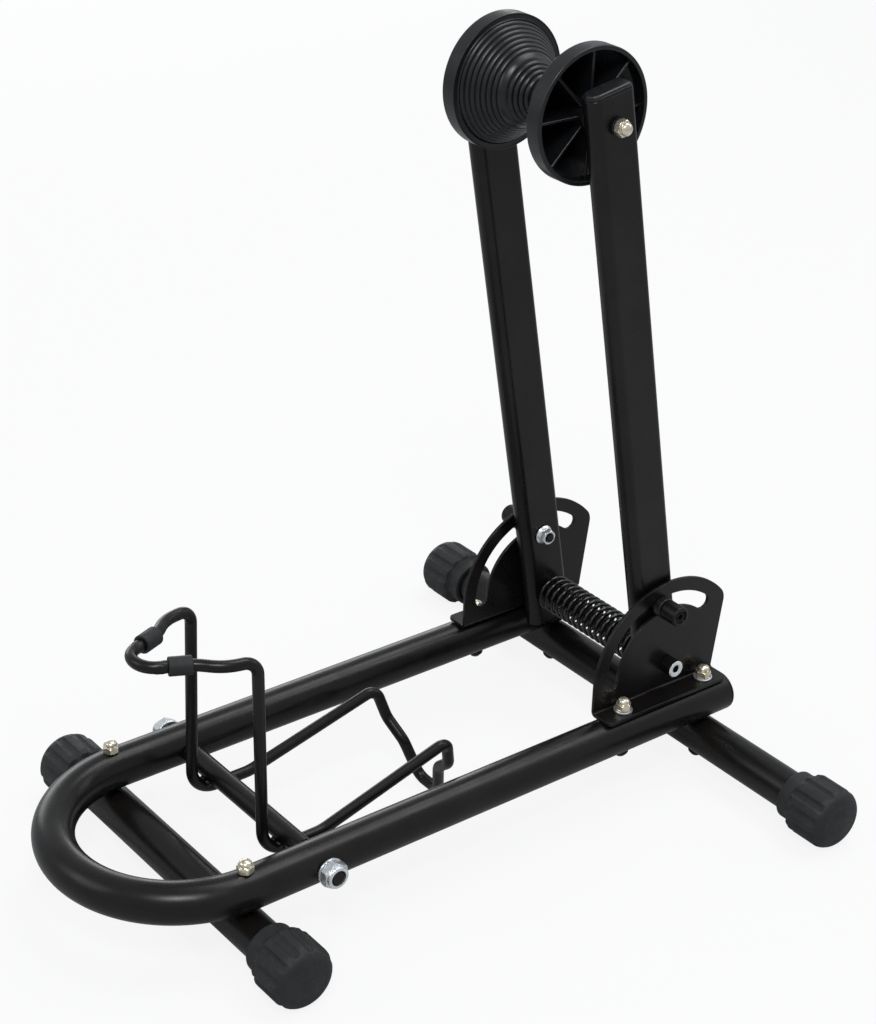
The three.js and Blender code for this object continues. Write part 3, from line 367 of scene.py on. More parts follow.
def outward(x, y, z, side):
    """Points a shape made along +Y away from the rack's middle plane, on one side."""
    turn = 0 if side > 0 else math.pi
    return Matrix.Translation((x, side * y, z)) @ Matrix.Rotation(turn, 4, "X")


def arc(centre, radius, start, end, steps):
    """Points on a flat arc, both ends included."""
    turns = [start + (end - start) * k / steps for k in range(steps + 1)]
    return [centre + radius * Vector((math.cos(a), math.sin(a))) for a in turns]


def inside(point, loop):
    """Whether a flat point lies in a closed loop."""
    hit = False
    for a, b in zip(loop, loop[1:] + loop[:1]):
        if (a.y > point.y) != (b.y > point.y):
            if point.x < a.x + (b.x - a.x) * (point.y - a.y) / (b.y - a.y):
                hit = not hit
    return hit


def shrunk(loop, inset):
    """A closed flat loop moved to its left, which is into the material."""
    moved = []
    for before, at, after in zip(loop[-1:] + loop[:-1], loop, loop[1:] + loop[:1]):
        come, go = (at - before).normalized(), (after - at).normalized()
        left = Vector((-come.y, come.x))
        half = (left + Vector((-go.y, go.x))).normalized()
        moved.append(at + half * inset / max(half.dot(left), 0.5))
    return moved


def flat_sheet(loops, across):
    """Triangles between an outer loop and its holes, with lines across between points of the outer loop."""
    points, edges = [], list(across)
    for loop in loops:
        first = len(points)
        points += loop
        edges += [(first + k, first + (k + 1) % len(loop)) for k in range(len(loop))]
    flat, _, faces = delaunay_2d_cdt(points, edges, [], 0, 1e-8)[:3]
    kept = []
    for face in faces:
        centre = sum((flat[i] for i in face), Vector((0, 0))) / len(face)
        if inside(centre, loops[0]) and not any(inside(centre, hole) for hole in loops[1:]):
            kept.append(tuple(face))
    return flat, kept


def plate(loops, across, thickness, edge, place, steps=4):
    """Sheet with rounded edges. place(point, height) says where a flat point at a height goes.

    The outer loop runs anticlockwise and its holes clockwise.
    """
    flat, faces = flat_sheet([shrunk(loop, edge) for loop in loops], across)
    half = thickness / 2
    parts = [([place(at, height) for at in flat], faces) for height in (half, -half)]
    quarter = [math.pi / 2 * k / steps for k in range(steps + 1)]
    rim = [(edge * (1 - math.sin(a)), half - edge * (1 - math.cos(a))) for a in quarter]
    rim += [(inset, -height) for inset, height in reversed(rim)]
    for loop in loops:
        rows = [[place(at, height) for at in shrunk(loop, inset)] for inset, height in rim]
        parts.append(skin(rows, caps=False))
    return joined(*parts)


# ---------------------------------------------------------------- pieces
def mesh_object(name, shape):
    """A new object whose place is in its mesh, with its faces pointing out."""
    points, faces = shape
    mesh = bpy.data.meshes.new(name)
    mesh.from_pydata([tuple(point) for point in points], [], faces)
    work = bmesh.new()
    work.from_mesh(mesh)
    bmesh.ops.remove_doubles(work, verts=work.verts, dist=1e-6)
    bmesh.ops.recalc_face_normals(work, faces=work.faces)
    work.to_mesh(mesh)
    work.free()
    piece = bpy.data.objects.new(name, mesh)
    bpy.context.collection.objects.link(piece)
    return piece


def settle(piece):
    """Turns the piece's modifiers into plain mesh and takes them off."""
    bpy.context.view_layer.update()
    graph = bpy.context.evaluated_depsgraph_get()
    mesh = bpy.data.meshes.new_from_object(piece.evaluated_get(graph), depsgraph=graph)
    mesh.name = piece.name
    if piece.type == "MESH":
        piece.modifiers.clear()
        piece.data = mesh
        return piece
    name = piece.name
    bpy.data.objects.remove(piece)
    plain = bpy.data.objects.new(name, mesh)
    bpy.context.collection.objects.link(plain)
    return plain


def finished(piece, finish, body, slot, *nodes):
    """Gives a piece its finish and its body, and hides the CAD nodes that it stands for."""
    if not piece.data.polygons:
        raise RuntimeError(f"{piece.name} has no surface")
    piece.data.materials.clear()
    piece.data.materials.append(finish)
    piece.data.shade_smooth()
    piece.data.set_sharp_from_angle(angle=SMOOTH_ANGLE)
    flat = piece.modifiers.new("flat_faces", "WEIGHTED_NORMAL")
    flat.keep_sharp = True
    piece = settle(piece)
    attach(piece, body)
    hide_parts(*nodes)
    return piece


def paint(piece, finish, chosen):
    """Gives the faces whose centre chosen() picks a second finish."""
    piece.data.materials.append(finish)
    number = len(piece.data.materials) - 1
    for face in piece.data.polygons:
        if chosen(face.center):
            face.material_index = number


# ---------------------------------------------------------------- node trees
def fill(tree, node, inputs):
    """Sets or links a node's inputs."""
    for socket, value in inputs.items():
        if isinstance(value, bpy.types.NodeSocket):
            tree.links.new(value, node.inputs[socket])
        else:
            node.inputs[socket].default_value = value


def add_node(tree, kind, settings=None, inputs=None):
    """Adds a node, sets its fields, and sets or links its inputs."""
    made = tree.nodes.new(kind)
    for field, value in (settings or {}).items():
        setattr(made, field, value)
    fill(tree, made, inputs or {})
    return made


def new_tree(name, sockets):
    """A geometry tree with named inputs, and its input node."""
    tree = bpy.data.node_groups.new(name, "GeometryNodeTree")
    tree.interface.new_socket("Geometry", in_out="OUTPUT", socket_type="NodeSocketGeometry")
    tree.interface.new_socket("Geometry", in_out="INPUT", socket_type="NodeSocketGeometry")
    for socket, kind in sockets:
        tree.interface.new_socket(socket, in_out="INPUT", socket_type=kind)
    return tree, add_node(tree, "NodeGroupInput")


def end_tree(tree, geometry, finish):
    """Realizes the instances, sets the finish and puts the result out."""
    real = add_node(tree, "GeometryNodeRealizeInstances", None, {"Geometry": geometry})
    smooth = add_node(tree, "GeometryNodeSetShadeSmooth", None, {"Geometry": real.outputs[0]})
    coated = add_node(
        tree, "GeometryNodeSetMaterial", None, {"Geometry": smooth.outputs[0], "Material": finish}
    )
    add_node(tree, "NodeGroupOutput", None, {"Geometry": coated.outputs[0]})
    return tree


def wire_tree():
    """Round wire along a curve: Radius and Sides set its section."""
    sockets = [("Radius", "NodeSocketFloat"), ("Sides", "NodeSocketInt"), ("Finish", "NodeSocketMaterial")]
    tree, given = new_tree("round_wire", sockets)
    section = add_node(
        tree,
        "GeometryNodeCurvePrimitiveCircle",
        {"mode": "RADIUS"},
        {"Resolution": given.outputs["Sides"], "Radius": given.outputs["Radius"]},
    )
    wire = add_node(
        tree,
        "GeometryNodeCurveToMesh",
        None,
        {"Curve": given.outputs["Geometry"], "Profile Curve": section.outputs["Curve"], "Fill Caps": True},
    )
    return end_tree(tree, wire.outputs["Mesh"], given.outputs["Finish"])


def copies_tree():
    """A copy of Item at each point, turned by the point's own turn attribute."""
    sockets = [("Item", "NodeSocketObject"), ("Finish", "NodeSocketMaterial")]
    tree, given = new_tree("copies_at_points", sockets)
    item = add_node(
        tree, "GeometryNodeObjectInfo", {"transform_space": "ORIGINAL"}, {"Object": given.outputs["Item"]}
    )
    turn = add_node(
        tree, "GeometryNodeInputNamedAttribute", {"data_type": "FLOAT_VECTOR"}, {"Name": "turn"}
    )
    copies = add_node(
        tree,
        "GeometryNodeInstanceOnPoints",
        None,
        {
            "Points": given.outputs["Geometry"],
            "Instance": item.outputs["Geometry"],
            "Rotation": turn.outputs["Attribute"],
        },
    )
    return end_tree(tree, copies.outputs["Instances"], given.outputs["Finish"])


def spokes_tree():
    """Copies of the given mesh, evenly turned about the Y axis: Count says how many."""
    sockets = [("Count", "NodeSocketInt"), ("Start", "NodeSocketFloat"), ("Finish", "NodeSocketMaterial")]
    tree, given = new_tree("spokes_round_axle", sockets)
    points = add_node(tree, "GeometryNodePoints", None, {"Count": given.outputs["Count"]})
    index = add_node(tree, "GeometryNodeInputIndex")
    share = add_node(
        tree, "ShaderNodeMath", {"operation": "DIVIDE"}, {0: index.outputs[0], 1: given.outputs["Count"]}
    )
    angle = add_node(
        tree,
        "ShaderNodeMath",
        {"operation": "MULTIPLY_ADD"},
        {0: share.outputs[0], 1: 2 * math.pi, 2: given.outputs["Start"]},
    )
    turn = add_node(tree, "ShaderNodeCombineXYZ", None, {"Y": angle.outputs[0]})
    copies = add_node(
        tree,
        "GeometryNodeInstanceOnPoints",
        None,
        {
            "Points": points.outputs["Points"],
            "Instance": given.outputs["Geometry"],
            "Rotation": turn.outputs["Vector"],
        },
    )
    return end_tree(tree, copies.outputs["Instances"], given.outputs["Finish"])


def tree_named(name, build):
    """A geometry tree, built the first time it is asked for."""
    return bpy.data.node_groups.get(name) or build()


def run_tree(piece, tree, values):
    """Puts a geometry tree with its inputs on a piece and turns the result into plain mesh."""
    modifier = piece.modifiers.new(tree.name, "NODES")
    modifier.node_group = tree
    for socket in tree.interface.items_tree:
        if socket.in_out == "INPUT" and socket.name in values:
            modifier[socket.identifier] = values[socket.name]
    return settle(piece)


def wire_piece(name, line, radius, sides, finish):
    """A round wire along a line of points."""
    curve = bpy.data.curves.new(name, "CURVE")
    curve.dimensions = "3D"
    spline = curve.splines.new("POLY")
    spline.points.add(len(line) - 1)
    for point, place in zip(spline.points, line):
        point.co = (*place, 1)
    piece = bpy.data.objects.new(name, curve)
    bpy.context.collection.objects.link(piece)
    tree = tree_named("round_wire", wire_tree)
    return run_tree(piece, tree, {"Radius": radius, "Sides": sides, "Finish": finish})


def copies_piece(name, shape, matrices, finish):
    """The same shape at several places, given as matrices."""
    item = mesh_object(f"{name}_item", shape)
    cloud = bpy.data.meshes.new(name)
    cloud.from_pydata([matrix.translation[:] for matrix in matrices], [], [])
    turn = cloud.attributes.new("turn", "FLOAT_VECTOR", "POINT")
    for value, matrix in zip(turn.data, matrices):
        value.vector = matrix.to_euler()
    piece = bpy.data.objects.new(name, cloud)
    bpy.context.collection.objects.link(piece)
    tree = tree_named("copies_at_points", copies_tree)
    piece = run_tree(piece, tree, {"Item": item, "Finish": finish})
    bpy.data.objects.remove(item)
    return piece


def named(pattern):
    """Both sides' names of a node."""
    return [pattern.format(where) for where, _ in SIDES]


# ---------------------------------------------------------------- finishes
NOISE_RANGE = (0.3, 0.7)  # where nearly all of a noise's values lie
EVEN = (0.35, 0.7)  # a tone that changes over the middle of its noise


def noise_finish(name, tones, shine, bumps, sockets):
    """A finish whose tone, shine and relief each follow a noise of a real size, given in mm.

    tones holds the noise's size and detail, the part of its range that the tone changes over, and two
    colours. shine holds a size, a detail and the least and greatest roughness. Each bump holds a size, a
    detail and a depth, and lies over the one before. sockets are the same all over the piece.
    """
    finish = bpy.data.materials.new(name)
    finish.use_nodes = True
    tree = finish.node_tree
    place = add_node(tree, "ShaderNodeTexCoord").outputs["Object"]
    noises = []
    for size, detail, *_ in (tones, shine, *bumps):
        inputs = {"Vector": place, "Scale": 1 / (size * MM), "Detail": detail}
        noises.append(add_node(tree, "ShaderNodeTexNoise", None, inputs).outputs["Fac"])

    tone = add_node(tree, "ShaderNodeValToRGB", None, {"Fac": noises[0]})
    for element, position, colour_at in zip(tone.color_ramp.elements, tones[2], tones[3:]):
        element.position, element.color = position, (*colour_at, 1)
    low, high = NOISE_RANGE
    inputs = {"Value": noises[1], "From Min": low, "From Max": high, "To Min": shine[2], "To Max": shine[3]}
    gloss = add_node(tree, "ShaderNodeMapRange", None, inputs).outputs["Result"]
    normal = {}
    for noise, (_, _, depth) in zip(noises[2:], bumps):
        inputs = {"Height": noise, "Distance": depth * MM, "Strength": 1.0, **normal}
        normal = {"Normal": add_node(tree, "ShaderNodeBump", None, inputs).outputs["Normal"]}
    surface = {"Base Color": tone.outputs["Color"], "Roughness": gloss, **normal, **sockets}
    fill(tree, tree.nodes["Principled BSDF"], surface)
    return finish


def powder_coat(colours):
    """Black polyester powder coat, sprayed and baked: a soft sheen with a faint orange peel.

    The crests of the peel lie 2 to 3 mm apart. The powder's own grain of about 0.1 mm is drawn at 0.5 mm,
    or it wouldn't show. Larger patches are worn by hands and boxes.
    """
    tones = (38, 4, (0.45, 0.8), colours.coat, colours.coat_worn)
    bumps = ((2.2, 2, 0.02), (0.5, 2, 0.004))
    sockets = {"IOR": 1.5, "Specular IOR Level": 0.3}
    return noise_finish("black_powder_coat", tones, (14, 5, 0.24, 0.33), bumps, sockets)


def spring_enamel(colours):
    """Gloss black stoving enamel on drawn spring wire: wet-looking, with pinpoint highlights.

    It sags into drops about as wide as the wire.
    """
    tones = (20, 3, EVEN, colours.enamel, colours.coat)
    return noise_finish("gloss_black_enamel", tones, (6, 4, 0.12, 0.22), ((3, 2, 0.03),), {"IOR": 1.52})


def black_oxide(colours):
    """Oiled black oxide on steel bolts: dark, half metallic, a little blotchy.

    The forged grain of about 0.2 mm is drawn at 0.7 mm, or it wouldn't show.
    """
    tones = (4, 4, EVEN, colours.oxide, colours.coat_worn)
    sockets = {"Metallic": 0.5}
    return noise_finish("black_oxide_steel", tones, (2.5, 4, 0.26, 0.42), ((0.7, 4, 0.01),), sockets)


def plated(name, pale, deep, least, greatest):
    """Zinc plate on a turned fastener: bright and softly mottled, with shallow dents."""
    tones = (3, 2, (0.4, 0.75), pale, deep)
    sockets = {"Metallic": 0.86}
    return noise_finish(name, tones, (1.6, 2, least, greatest), ((2.4, 2, 0.008),), sockets)


def bright_zinc(colours):
    """Clear-passivated zinc plate: cool and mirror-like with a grey bloom."""
    return plated("bright_zinc_plate", colours.zinc, colours.zinc_bloom, 0.2, 0.34)


def yellow_zinc(colours):
    """Pale yellow chromate over zinc plate: cream, drifting to a greener straw."""
    return plated("yellow_zinc_plate", colours.yellow_zinc, colours.straw, 0.16, 0.3)


def polypropylene(colours):
    """Injection-moulded black polypropylene: satin, with flow marks 7 mm apart over its grain.

    Spark-eroded moulds leave a grain of about 0.1 mm, drawn at 0.6 mm so that it shows.
    """
    tones = (16, 4, EVEN, colours.plastic, colours.plastic_flow)
    bumps = ((0.6, 3, 0.012), (7, 2, 0.05))
    sockets = {"IOR": 1.49, "Specular IOR Level": 0.42}
    return noise_finish("moulded_polypropylene", tones, (5, 5, 0.26, 0.38), bumps, sockets)


def rubber(colours):
    """Compression-moulded black rubber: matt, a little chalky, with an open fine grain.

    The grain of about 0.2 mm is drawn at 0.5 mm, or it wouldn't show.
    """
    tones = (9, 6, EVEN, colours.rubber, colours.rubber_chalk)
    sockets = {"IOR": 1.5, "Specular IOR Level": 0.4}
    return noise_finish("moulded_rubber", tones, (3, 4, 0.5, 0.68), ((0.5, 4, 0.03),), sockets)


FINISHES = {
    "powder_coat": powder_coat,
    "spring_black": spring_enamel,
    "black_steel": black_oxide,
    "bright_zinc": bright_zinc,
    "yellow_zinc": yellow_zinc,
    "black_plastic": polypropylene,
    "rubber": rubber,
}
MADE = {}  # the finishes made so far, by slot


def finish_for(slot):
    """The material that stands for one of the record's slots, made once."""
    if slot not in MADE:
        MADE[slot] = FINISHES[slot](bpy.context.scene.rack_colours)
    return MADE[slot]


def make(name, shape, body, slot, *nodes):
    """A finished piece from one shape."""
    return finished(mesh_object(name, shape), finish_for(slot), body, slot, *nodes)


def make_copies(name, shape, spots, body, slot, *nodes):
    """A finished piece from the same shape at several places."""
    piece = copies_piece(name, shape, spots, finish_for(slot))
    return finished(piece, finish_for(slot), body, slot, *nodes)


# ---------------------------------------------------------------- small hardware
ACORN = {"flats": 10 * MM, "hex": 4.5 * MM, "neck": 1.4 * MM, "dome": 8.4 * MM, "height": 8.5 * MM}
TURNED_SIDES = 96  # facets round a turned piece with flats


def hex_sides(flats, top, chamfer):
    """Profile of a hexagon from height 0 to top, with its corners chamfered at both ends."""
    wide = flats / math.sqrt(3) - flats / 2
    shares = (0.0, 0.35, 0.7, 1.0)
    rising = [(flats / 2 + wide * share, chamfer * share) for share in shares]
    falling = [(flats / 2 + wide * share, top - chamfer * share) for share in reversed(shares)]
    return rising + falling


def acorn_nut():
    """Domed nut along +Y, with chamfered corners, a groove over the hexagon and a rounded dome."""
    flats, top = ACORN["flats"], ACORN["hex"]
    neck, height = ACORN["dome"] / 2, ACORN["height"]
    chamfer = 0.55 * MM
    dome_from = top + ACORN["neck"]
    groove = ((-0.1 * MM, 0.02 * MM), (-0.45 * MM, 0.3 * MM), (0, 0.7 * MM))
    profile = [(flats / 2 - chamfer, 0)] + hex_sides(flats, top, chamfer)
    profile += [(neck + inward, top + rise) for inward, rise in groove]
    steps = 12
    for k in range(steps):
        angle = math.pi / 2 * k / steps
        profile.append((neck * math.cos(angle), dome_from + (height - dome_from) * math.sin(angle)))
    return turned(profile, TURNED_SIDES, hex_form(flats, top))


def rod(half, radius, edge, centre):
    """Rod along Y about a point, with chamfered ends."""
    corners = [(radius - edge, -half), (radius, edge - half), (radius, half - edge), (radius - edge, half)]
    return placed(turned(corners), Matrix.Translation(centre))


def round_washer(outer, inner, thickness, edge=0.25 * MM):
    """Flat ring along +Y with softened edges."""
    corners = [
        (inner / 2, 0, edge),
        (outer / 2, 0, edge),
        (outer / 2, thickness, edge),
        (inner / 2, thickness, edge),
    ]
    return turned(soften(corners, 2, closed=True), ROUND, ring=True)


def pan_head(diameter, height, shank, reach):
    """Bolt along +Y: a low domed head from height 0 to height, then its shank."""
    radius = diameter / 2
    socket = 2 * MM
    recess = 1.6 * MM
    edge = 0.15 * MM
    flat = radius * 0.55
    shoulder = height * 0.6
    corners = [
        (socket, recess),
        (socket, 0, edge),
        (flat, 0, 0.6 * MM),
        (radius, shoulder, height * 0.45),
        (radius, height, edge),
        (shank / 2, height),
        (shank / 2, reach),
    ]

    key = hex_form(2 * socket * 0.9, recess)

    def form(at, tall, angle):
        return key(at, tall, angle) if at <= socket else at

    return turned(soften(corners, 4), 72, form)


def ridged(count, depth, low, high):
    """Straight knurling between two heights: the turned surface rises and falls count times."""
    inner = depth * 8  # nothing nearer the middle is knurled
    sharpness = 0.7

    def form(radius, height, angle):
        if low < height < high and radius > inner:
            return radius - depth * (0.5 - 0.5 * math.cos(count * angle)) ** sharpness
        return radius

    return form


def socket_screw(diameter, height, reach, flats, recess, knurls, knurl_depth):
    """Cap screw along +Y: shank from -reach to 0, then a knurled head with a hexagon socket."""
    radius = diameter / 2
    edge = 0.4 * MM
    rim = edge * 0.6
    foot = 0.3 * MM
    mouth = 0.5 * MM
    key = flats / math.sqrt(3)
    corners = [
        (SHANK / 2, -reach),
        (SHANK / 2, 0),
        (radius - foot, 0),
        (radius, foot),
        (radius, height * 0.35),
        (radius, height * 0.65),
        (radius, height - edge, rim),
        (radius - edge, height, rim),
        (key + mouth, height, foot),
        (key, height - mouth),
        (key, height - recess),
        (key * 0.3, height - recess - 0.6 * MM),
    ]
    knurled = ridged(knurls, knurl_depth, 0.2 * MM, height - edge)
    socket = hex_form(flats, height)
    near = 0.01 * MM

    def form(at, tall, angle):
        return socket(at, tall, angle) if at <= key + near and tall > 0 else knurled(at, tall, angle)

    return turned(soften(corners, 3), 192, form)


def flange_nut(flange, flats, height, skirt):
    """Hexagon nut along +Y on a round flange, with chamfered corners and a bore."""
    corner = flats / math.sqrt(3)
    bore = 3.3 * MM
    chamfer = 0.6 * MM
    edge = 0.3 * MM
    profile = [(bore, 0), (flange / 2 - edge, 0), (flange / 2, edge), (flange / 2, 3 * edge)]
    profile += [(corner + edge, skirt), (corner, skirt + 0.2 * MM)]
    profile += hex_sides(flats, height, chamfer)[4:]
    profile += [(bore + 0.7 * MM, height), (bore, height - chamfer)]
    hexagon = hex_form(flats, height)

    def form(radius, tall, angle):
        return radius if tall <= skirt else hexagon(radius, tall, angle)

    return turned(profile, TURNED_SIDES, form, ring=True)


# ---------------------------------------------------------------- operators
class RACK_OT_frame_tube(bpy.types.Operator):
    """Bends the base tube and closes its cut ends with plugs"""

    bl_idname = "rack.frame_tube"
    bl_label = "Base tube"

    def execute(self, context):
        sizes = context.scene.rack_base
        steps = 72  # stations round the bend
        line = [Vector((RAIL_END, -RAIL_Y, RAIL_Z))]
        for k in range(steps + 1):
            angle = math.pi * (1.5 - k / steps)
            line.append(Vector((BEND_X + RAIL_Y * math.cos(angle), RAIL_Y * math.sin(angle), RAIL_Z)))
        line.append(Vector((RAIL_END, RAIL_Y, RAIL_Z)))
        shape = hollow_tube(line, TUBE_RADIUS, sizes.wall, sizes.tube_edge)
        make("frame_tube", shape, "base", "powder_coat", "u_frame")

        shape = self.plug(sizes)
        turn = Matrix.Rotation(-math.pi / 2, 4, "Z")
        for where, side in SIDES:
            spot = Matrix.Translation((RAIL_END, side * RAIL_Y, RAIL_Z)) @ turn
            make(f"end_plug_{where}", placed(shape, spot), "base", "black_plastic", f"rail_plug_{where}")
        return {"FINISHED"}

    def plug(self, sizes):
        """Domed plug along +Y, with its stem behind height 0."""
        stem = TUBE_RADIUS - sizes.wall
        seat = 0.2 * MM
        crown = sizes.plug_crown
        corners = [
            (stem, -4 * MM),
            (stem, seat),
            (TUBE_RADIUS - seat, seat, 0.3 * MM),
            (TUBE_RADIUS - seat, crown * 0.5, crown * 0.4),
            (TUBE_RADIUS * 0.62, crown * 0.95, 3 * MM),
            (0.5 * MM, crown),
        ]
        return turned(soften(corners, 5), BIG_ROUND)


class RACK_OT_feet(bpy.types.Operator):
    """Makes the two cross feet"""

    bl_idname = "rack.feet"
    bl_label = "Cross feet"

    def execute(self, context):
        sizes = context.scene.rack_base
        for node in ("front_foot", "rear_foot"):
            at, size = middle(node), extent(node)
            steps = 24  # stations along a foot
            ends = [at.y + size.y * (k / steps - 0.5) for k in range(steps + 1)]
            line = [Vector((at.x, y, at.z)) for y in ends]
            shape = hollow_tube(line, TUBE_RADIUS, sizes.wall, sizes.tube_edge)
            make(f"{node}_tube", shape, "base", "powder_coat", node)
        return {"FINISHED"}


class RACK_OT_foot_caps(bpy.types.Operator):
    """Moulds a fluted rubber cap on each end of the feet"""

    bl_idname = "rack.foot_caps"
    bl_label = "Rubber caps"

    def execute(self, context):
        for end in ("front", "rear"):
            for where, side in SIDES:
                node = f"{end}_cap_{where}"
                shape = self.cap(context.scene.rack_base, node, side)
                make(f"{end}_rubber_cap_{where}", shape, "base", "rubber", node)
        return {"FINISHED"}

    def cap(self, sizes, node, side):
        """Cap on one end of a foot, with the land that it stands on."""
        at, size = middle(node), extent(node)
        radius, long = size.x / 2, size.y
        collar = sizes.cap_collar / 2
        shoulder = sizes.cap_collar_length + sizes.cap_shoulder
        dome_from = long - sizes.cap_crown - sizes.cap_dome
        bore = TUBE_RADIUS + CLEAR
        edge = 0.8 * MM
        slope = 1.2 * MM
        corners = [
            (bore, 4 * MM),
            (bore, 0, 0.4 * MM),
            (collar, 0, edge),
            (collar, sizes.cap_collar_length, 0.9 * MM),
            (radius - slope, shoulder - edge, edge),
            (radius, shoulder + slope, 1.5 * MM),
        ]
        profile = soften(corners, 4)[:-1]
        rows = 26
        straight_from = shoulder + 2 * MM
        for k in range(rows + 1):
            profile.append(Vector((radius, straight_from + (dome_from - straight_from) * k / rows)))
        bends = 14
        for k in range(1, bends + 1):
            angle = math.pi / 2 * k / bends
            out = radius - sizes.cap_dome * (1 - math.cos(angle))
            profile.append(Vector((out, dome_from + sizes.cap_dome * math.sin(angle))))
        rings = 6
        for k in range(1, rings):
            share = 1 - k / rings
            out = (radius - sizes.cap_dome) * share
            profile.append(Vector((out, long - sizes.cap_crown * share**2)))
        flute_from = sizes.cap_collar_length + 0.4 * MM
        flute_to = dome_from + sizes.cap_dome * 0.55
        fluted_from = collar + 0.2 * MM
        step = 2 * math.pi / sizes.flutes
        half = sizes.flute_width / 2

        def form(at_radius, height, angle):
            off = abs((angle % step) - step / 2) * radius
            if not flute_from < height < flute_to or at_radius < fluted_from or off >= half:
                return at_radius
            fade = math.sqrt(min(1, min(height - flute_from, flute_to - height) / half))
            trough = math.sqrt(math.cos(off / half * math.pi / 2))
            return at_radius - sizes.flute_depth * fade * trough

        sides = sizes.flutes * 20
        root = Matrix.Translation((at.x, at.y - side * long / 2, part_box(node)[1].z - radius))
        turn = Matrix.Rotation(0 if side > 0 else math.pi, 4, "Z")
        points, faces = placed(turned(profile, sides, form), root @ turn)
        for point in points:
            point.z = max(point.z, 0)
        return points, faces


class RACK_OT_brackets(bpy.types.Operator):
    """Folds the two slotted hinge brackets from sheet"""

    bl_idname = "rack.brackets"
    bl_label = "Hinge brackets"

    def execute(self, context):
        for where, side in SIDES:
            shape = self.bracket(context.scene.rack_base, side)
            make(f"hinge_bracket_{where}", shape, "base", "powder_coat", f"bracket_{where}")
        return {"FINISHED"}

    def outline(self, sizes, lift, flat):
        """Edge of the flat pattern: x along the rail, y from the flange up the web."""
        low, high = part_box("bracket_far")
        front, rear = low.x, PIVOT.x + sizes.flange_rear
        inner = sizes.web_radius - sizes.web_corner
        normal = -sizes.web_lean
        edge = math.cos(normal) * sizes.flange_rear + math.sin(normal) * (SEAT_Z - PIVOT.z)
        turn = math.acos((edge - sizes.web_corner) / inner) + normal
        pivot = Vector((PIVOT.x, PIVOT.z - SEAT_Z + lift))
        corner = pivot + inner * Vector((math.cos(turn), math.sin(turn)))
        outer = sizes.fold_radius - (high.y - low.y)
        flange = [
            (front, 0),
            (front, outer, sizes.flange_corner),
            (rear, outer, sizes.flange_corner),
            (rear, 0),
        ]
        points = [Vector((front, y)) for y in reversed(flat[1:])]
        points += soften(flange, 6)
        points += [Vector((rear, y)) for y in flat[1:]]
        points += arc(corner, sizes.web_corner, normal, turn, 8)
        points += arc(pivot, sizes.web_radius, turn, math.pi, 56)[1:]
        return points, pivot

    def slot(self, sizes, pivot):
        """Edge of the curved slot round the pivot."""
        half = sizes.slot_width / 2
        start, end = sizes.slot_start, math.pi
        ends = [pivot + sizes.slot_radius * Vector((math.cos(a), math.sin(a))) for a in (start, end)]
        return (
            arc(pivot, sizes.slot_radius + half, end, start, 44)
            + arc(ends[0], half, start, start - math.pi, 12)[1:]
            + arc(pivot, sizes.slot_radius - half, start, end, 44)[1:]
            + arc(ends[1], half, end + math.pi, end, 12)[1:-1]
        )

    def bracket(self, sizes, side):
        """Bracket on one side, folded from its flat pattern."""
        fold = sizes.fold_radius - sizes.sheet / 2
        folded = fold * math.pi / 2
        steps = 6
        flat = [folded * k / steps for k in range(steps + 1)]
        edge, pivot = self.outline(sizes, folded - sizes.fold_radius, flat)
        rear = edge.index(max(edge, key=lambda at: (at.y == 0) * at.x))
        across = [(steps - k, rear + k) for k in range(steps + 1)]
        loops = [edge, self.slot(sizes, pivot), arc(pivot, LOOSE_BORE, 2 * math.pi, 0, 32)[:-1]]
        centre = Vector((WEB_INNER, SEAT_Z)) + Vector((1, 1)) * sizes.fold_radius

        def folds(at, height):
            angle = min(max(at.y / fold, 0), math.pi / 2)
            out = Vector((math.sin(angle), math.cos(angle)))
            place = centre - out * (fold + height)
            place += Vector((-min(at.y, 0), max(at.y - folded, 0)))
            return Vector((at.x, side * place.x, place.y))

        return plate(loops, across, sizes.sheet, sizes.sheet_edge, folds)


class RACK_OT_base_fasteners(bpy.types.Operator):
    """Sets the bolts, washers and domed nuts of the feet and brackets"""

    bl_idname = "rack.base_fasteners"
    bl_label = "Base fasteners"

    def execute(self, context):
        places = ("foot", "bracket_front", "bracket_rear")
        nuts = [name for place in places for name in named(place + "_nut_{}")]
        # No two nuts are tightened to the same angle
        turns = [Matrix.Rotation(math.radians(17 + 41 * k), 4, "Y") for k in range(len(nuts))]
        spots = [spot @ turn for spot, turn in zip(self.spots(nuts), turns)]
        make_copies("domed_nuts", acorn_nut(), spots, "base", "yellow_zinc", *nuts)

        washers = [name for place in places[1:] for name in named(place + "_washer_{}")]
        size = extent(washers[0])
        shape = round_washer(size.x, WASHER_BORE, size.z)
        make_copies("nut_washers", shape, self.spots(washers), "base", "bright_zinc", *washers)

        head = 4.8 * MM
        for place, label in zip(places, ("front_foot_bolts", "bracket_front_bolts", "bracket_rear_bolts")):
            bolts = named(place + "_bolt_{}")
            size = extent(bolts[0])
            shape = pan_head(size.x, head, SHANK, size.z)
            make_copies(label, shape, self.spots(bolts), "base", "black_steel", *bolts)
        return {"FINISHED"}

    def spots(self, nodes):
        """Upright places on the undersides of the nodes' boxes."""
        return [along_z(middle(node).x, middle(node).y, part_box(node)[0].z) for node in nodes]


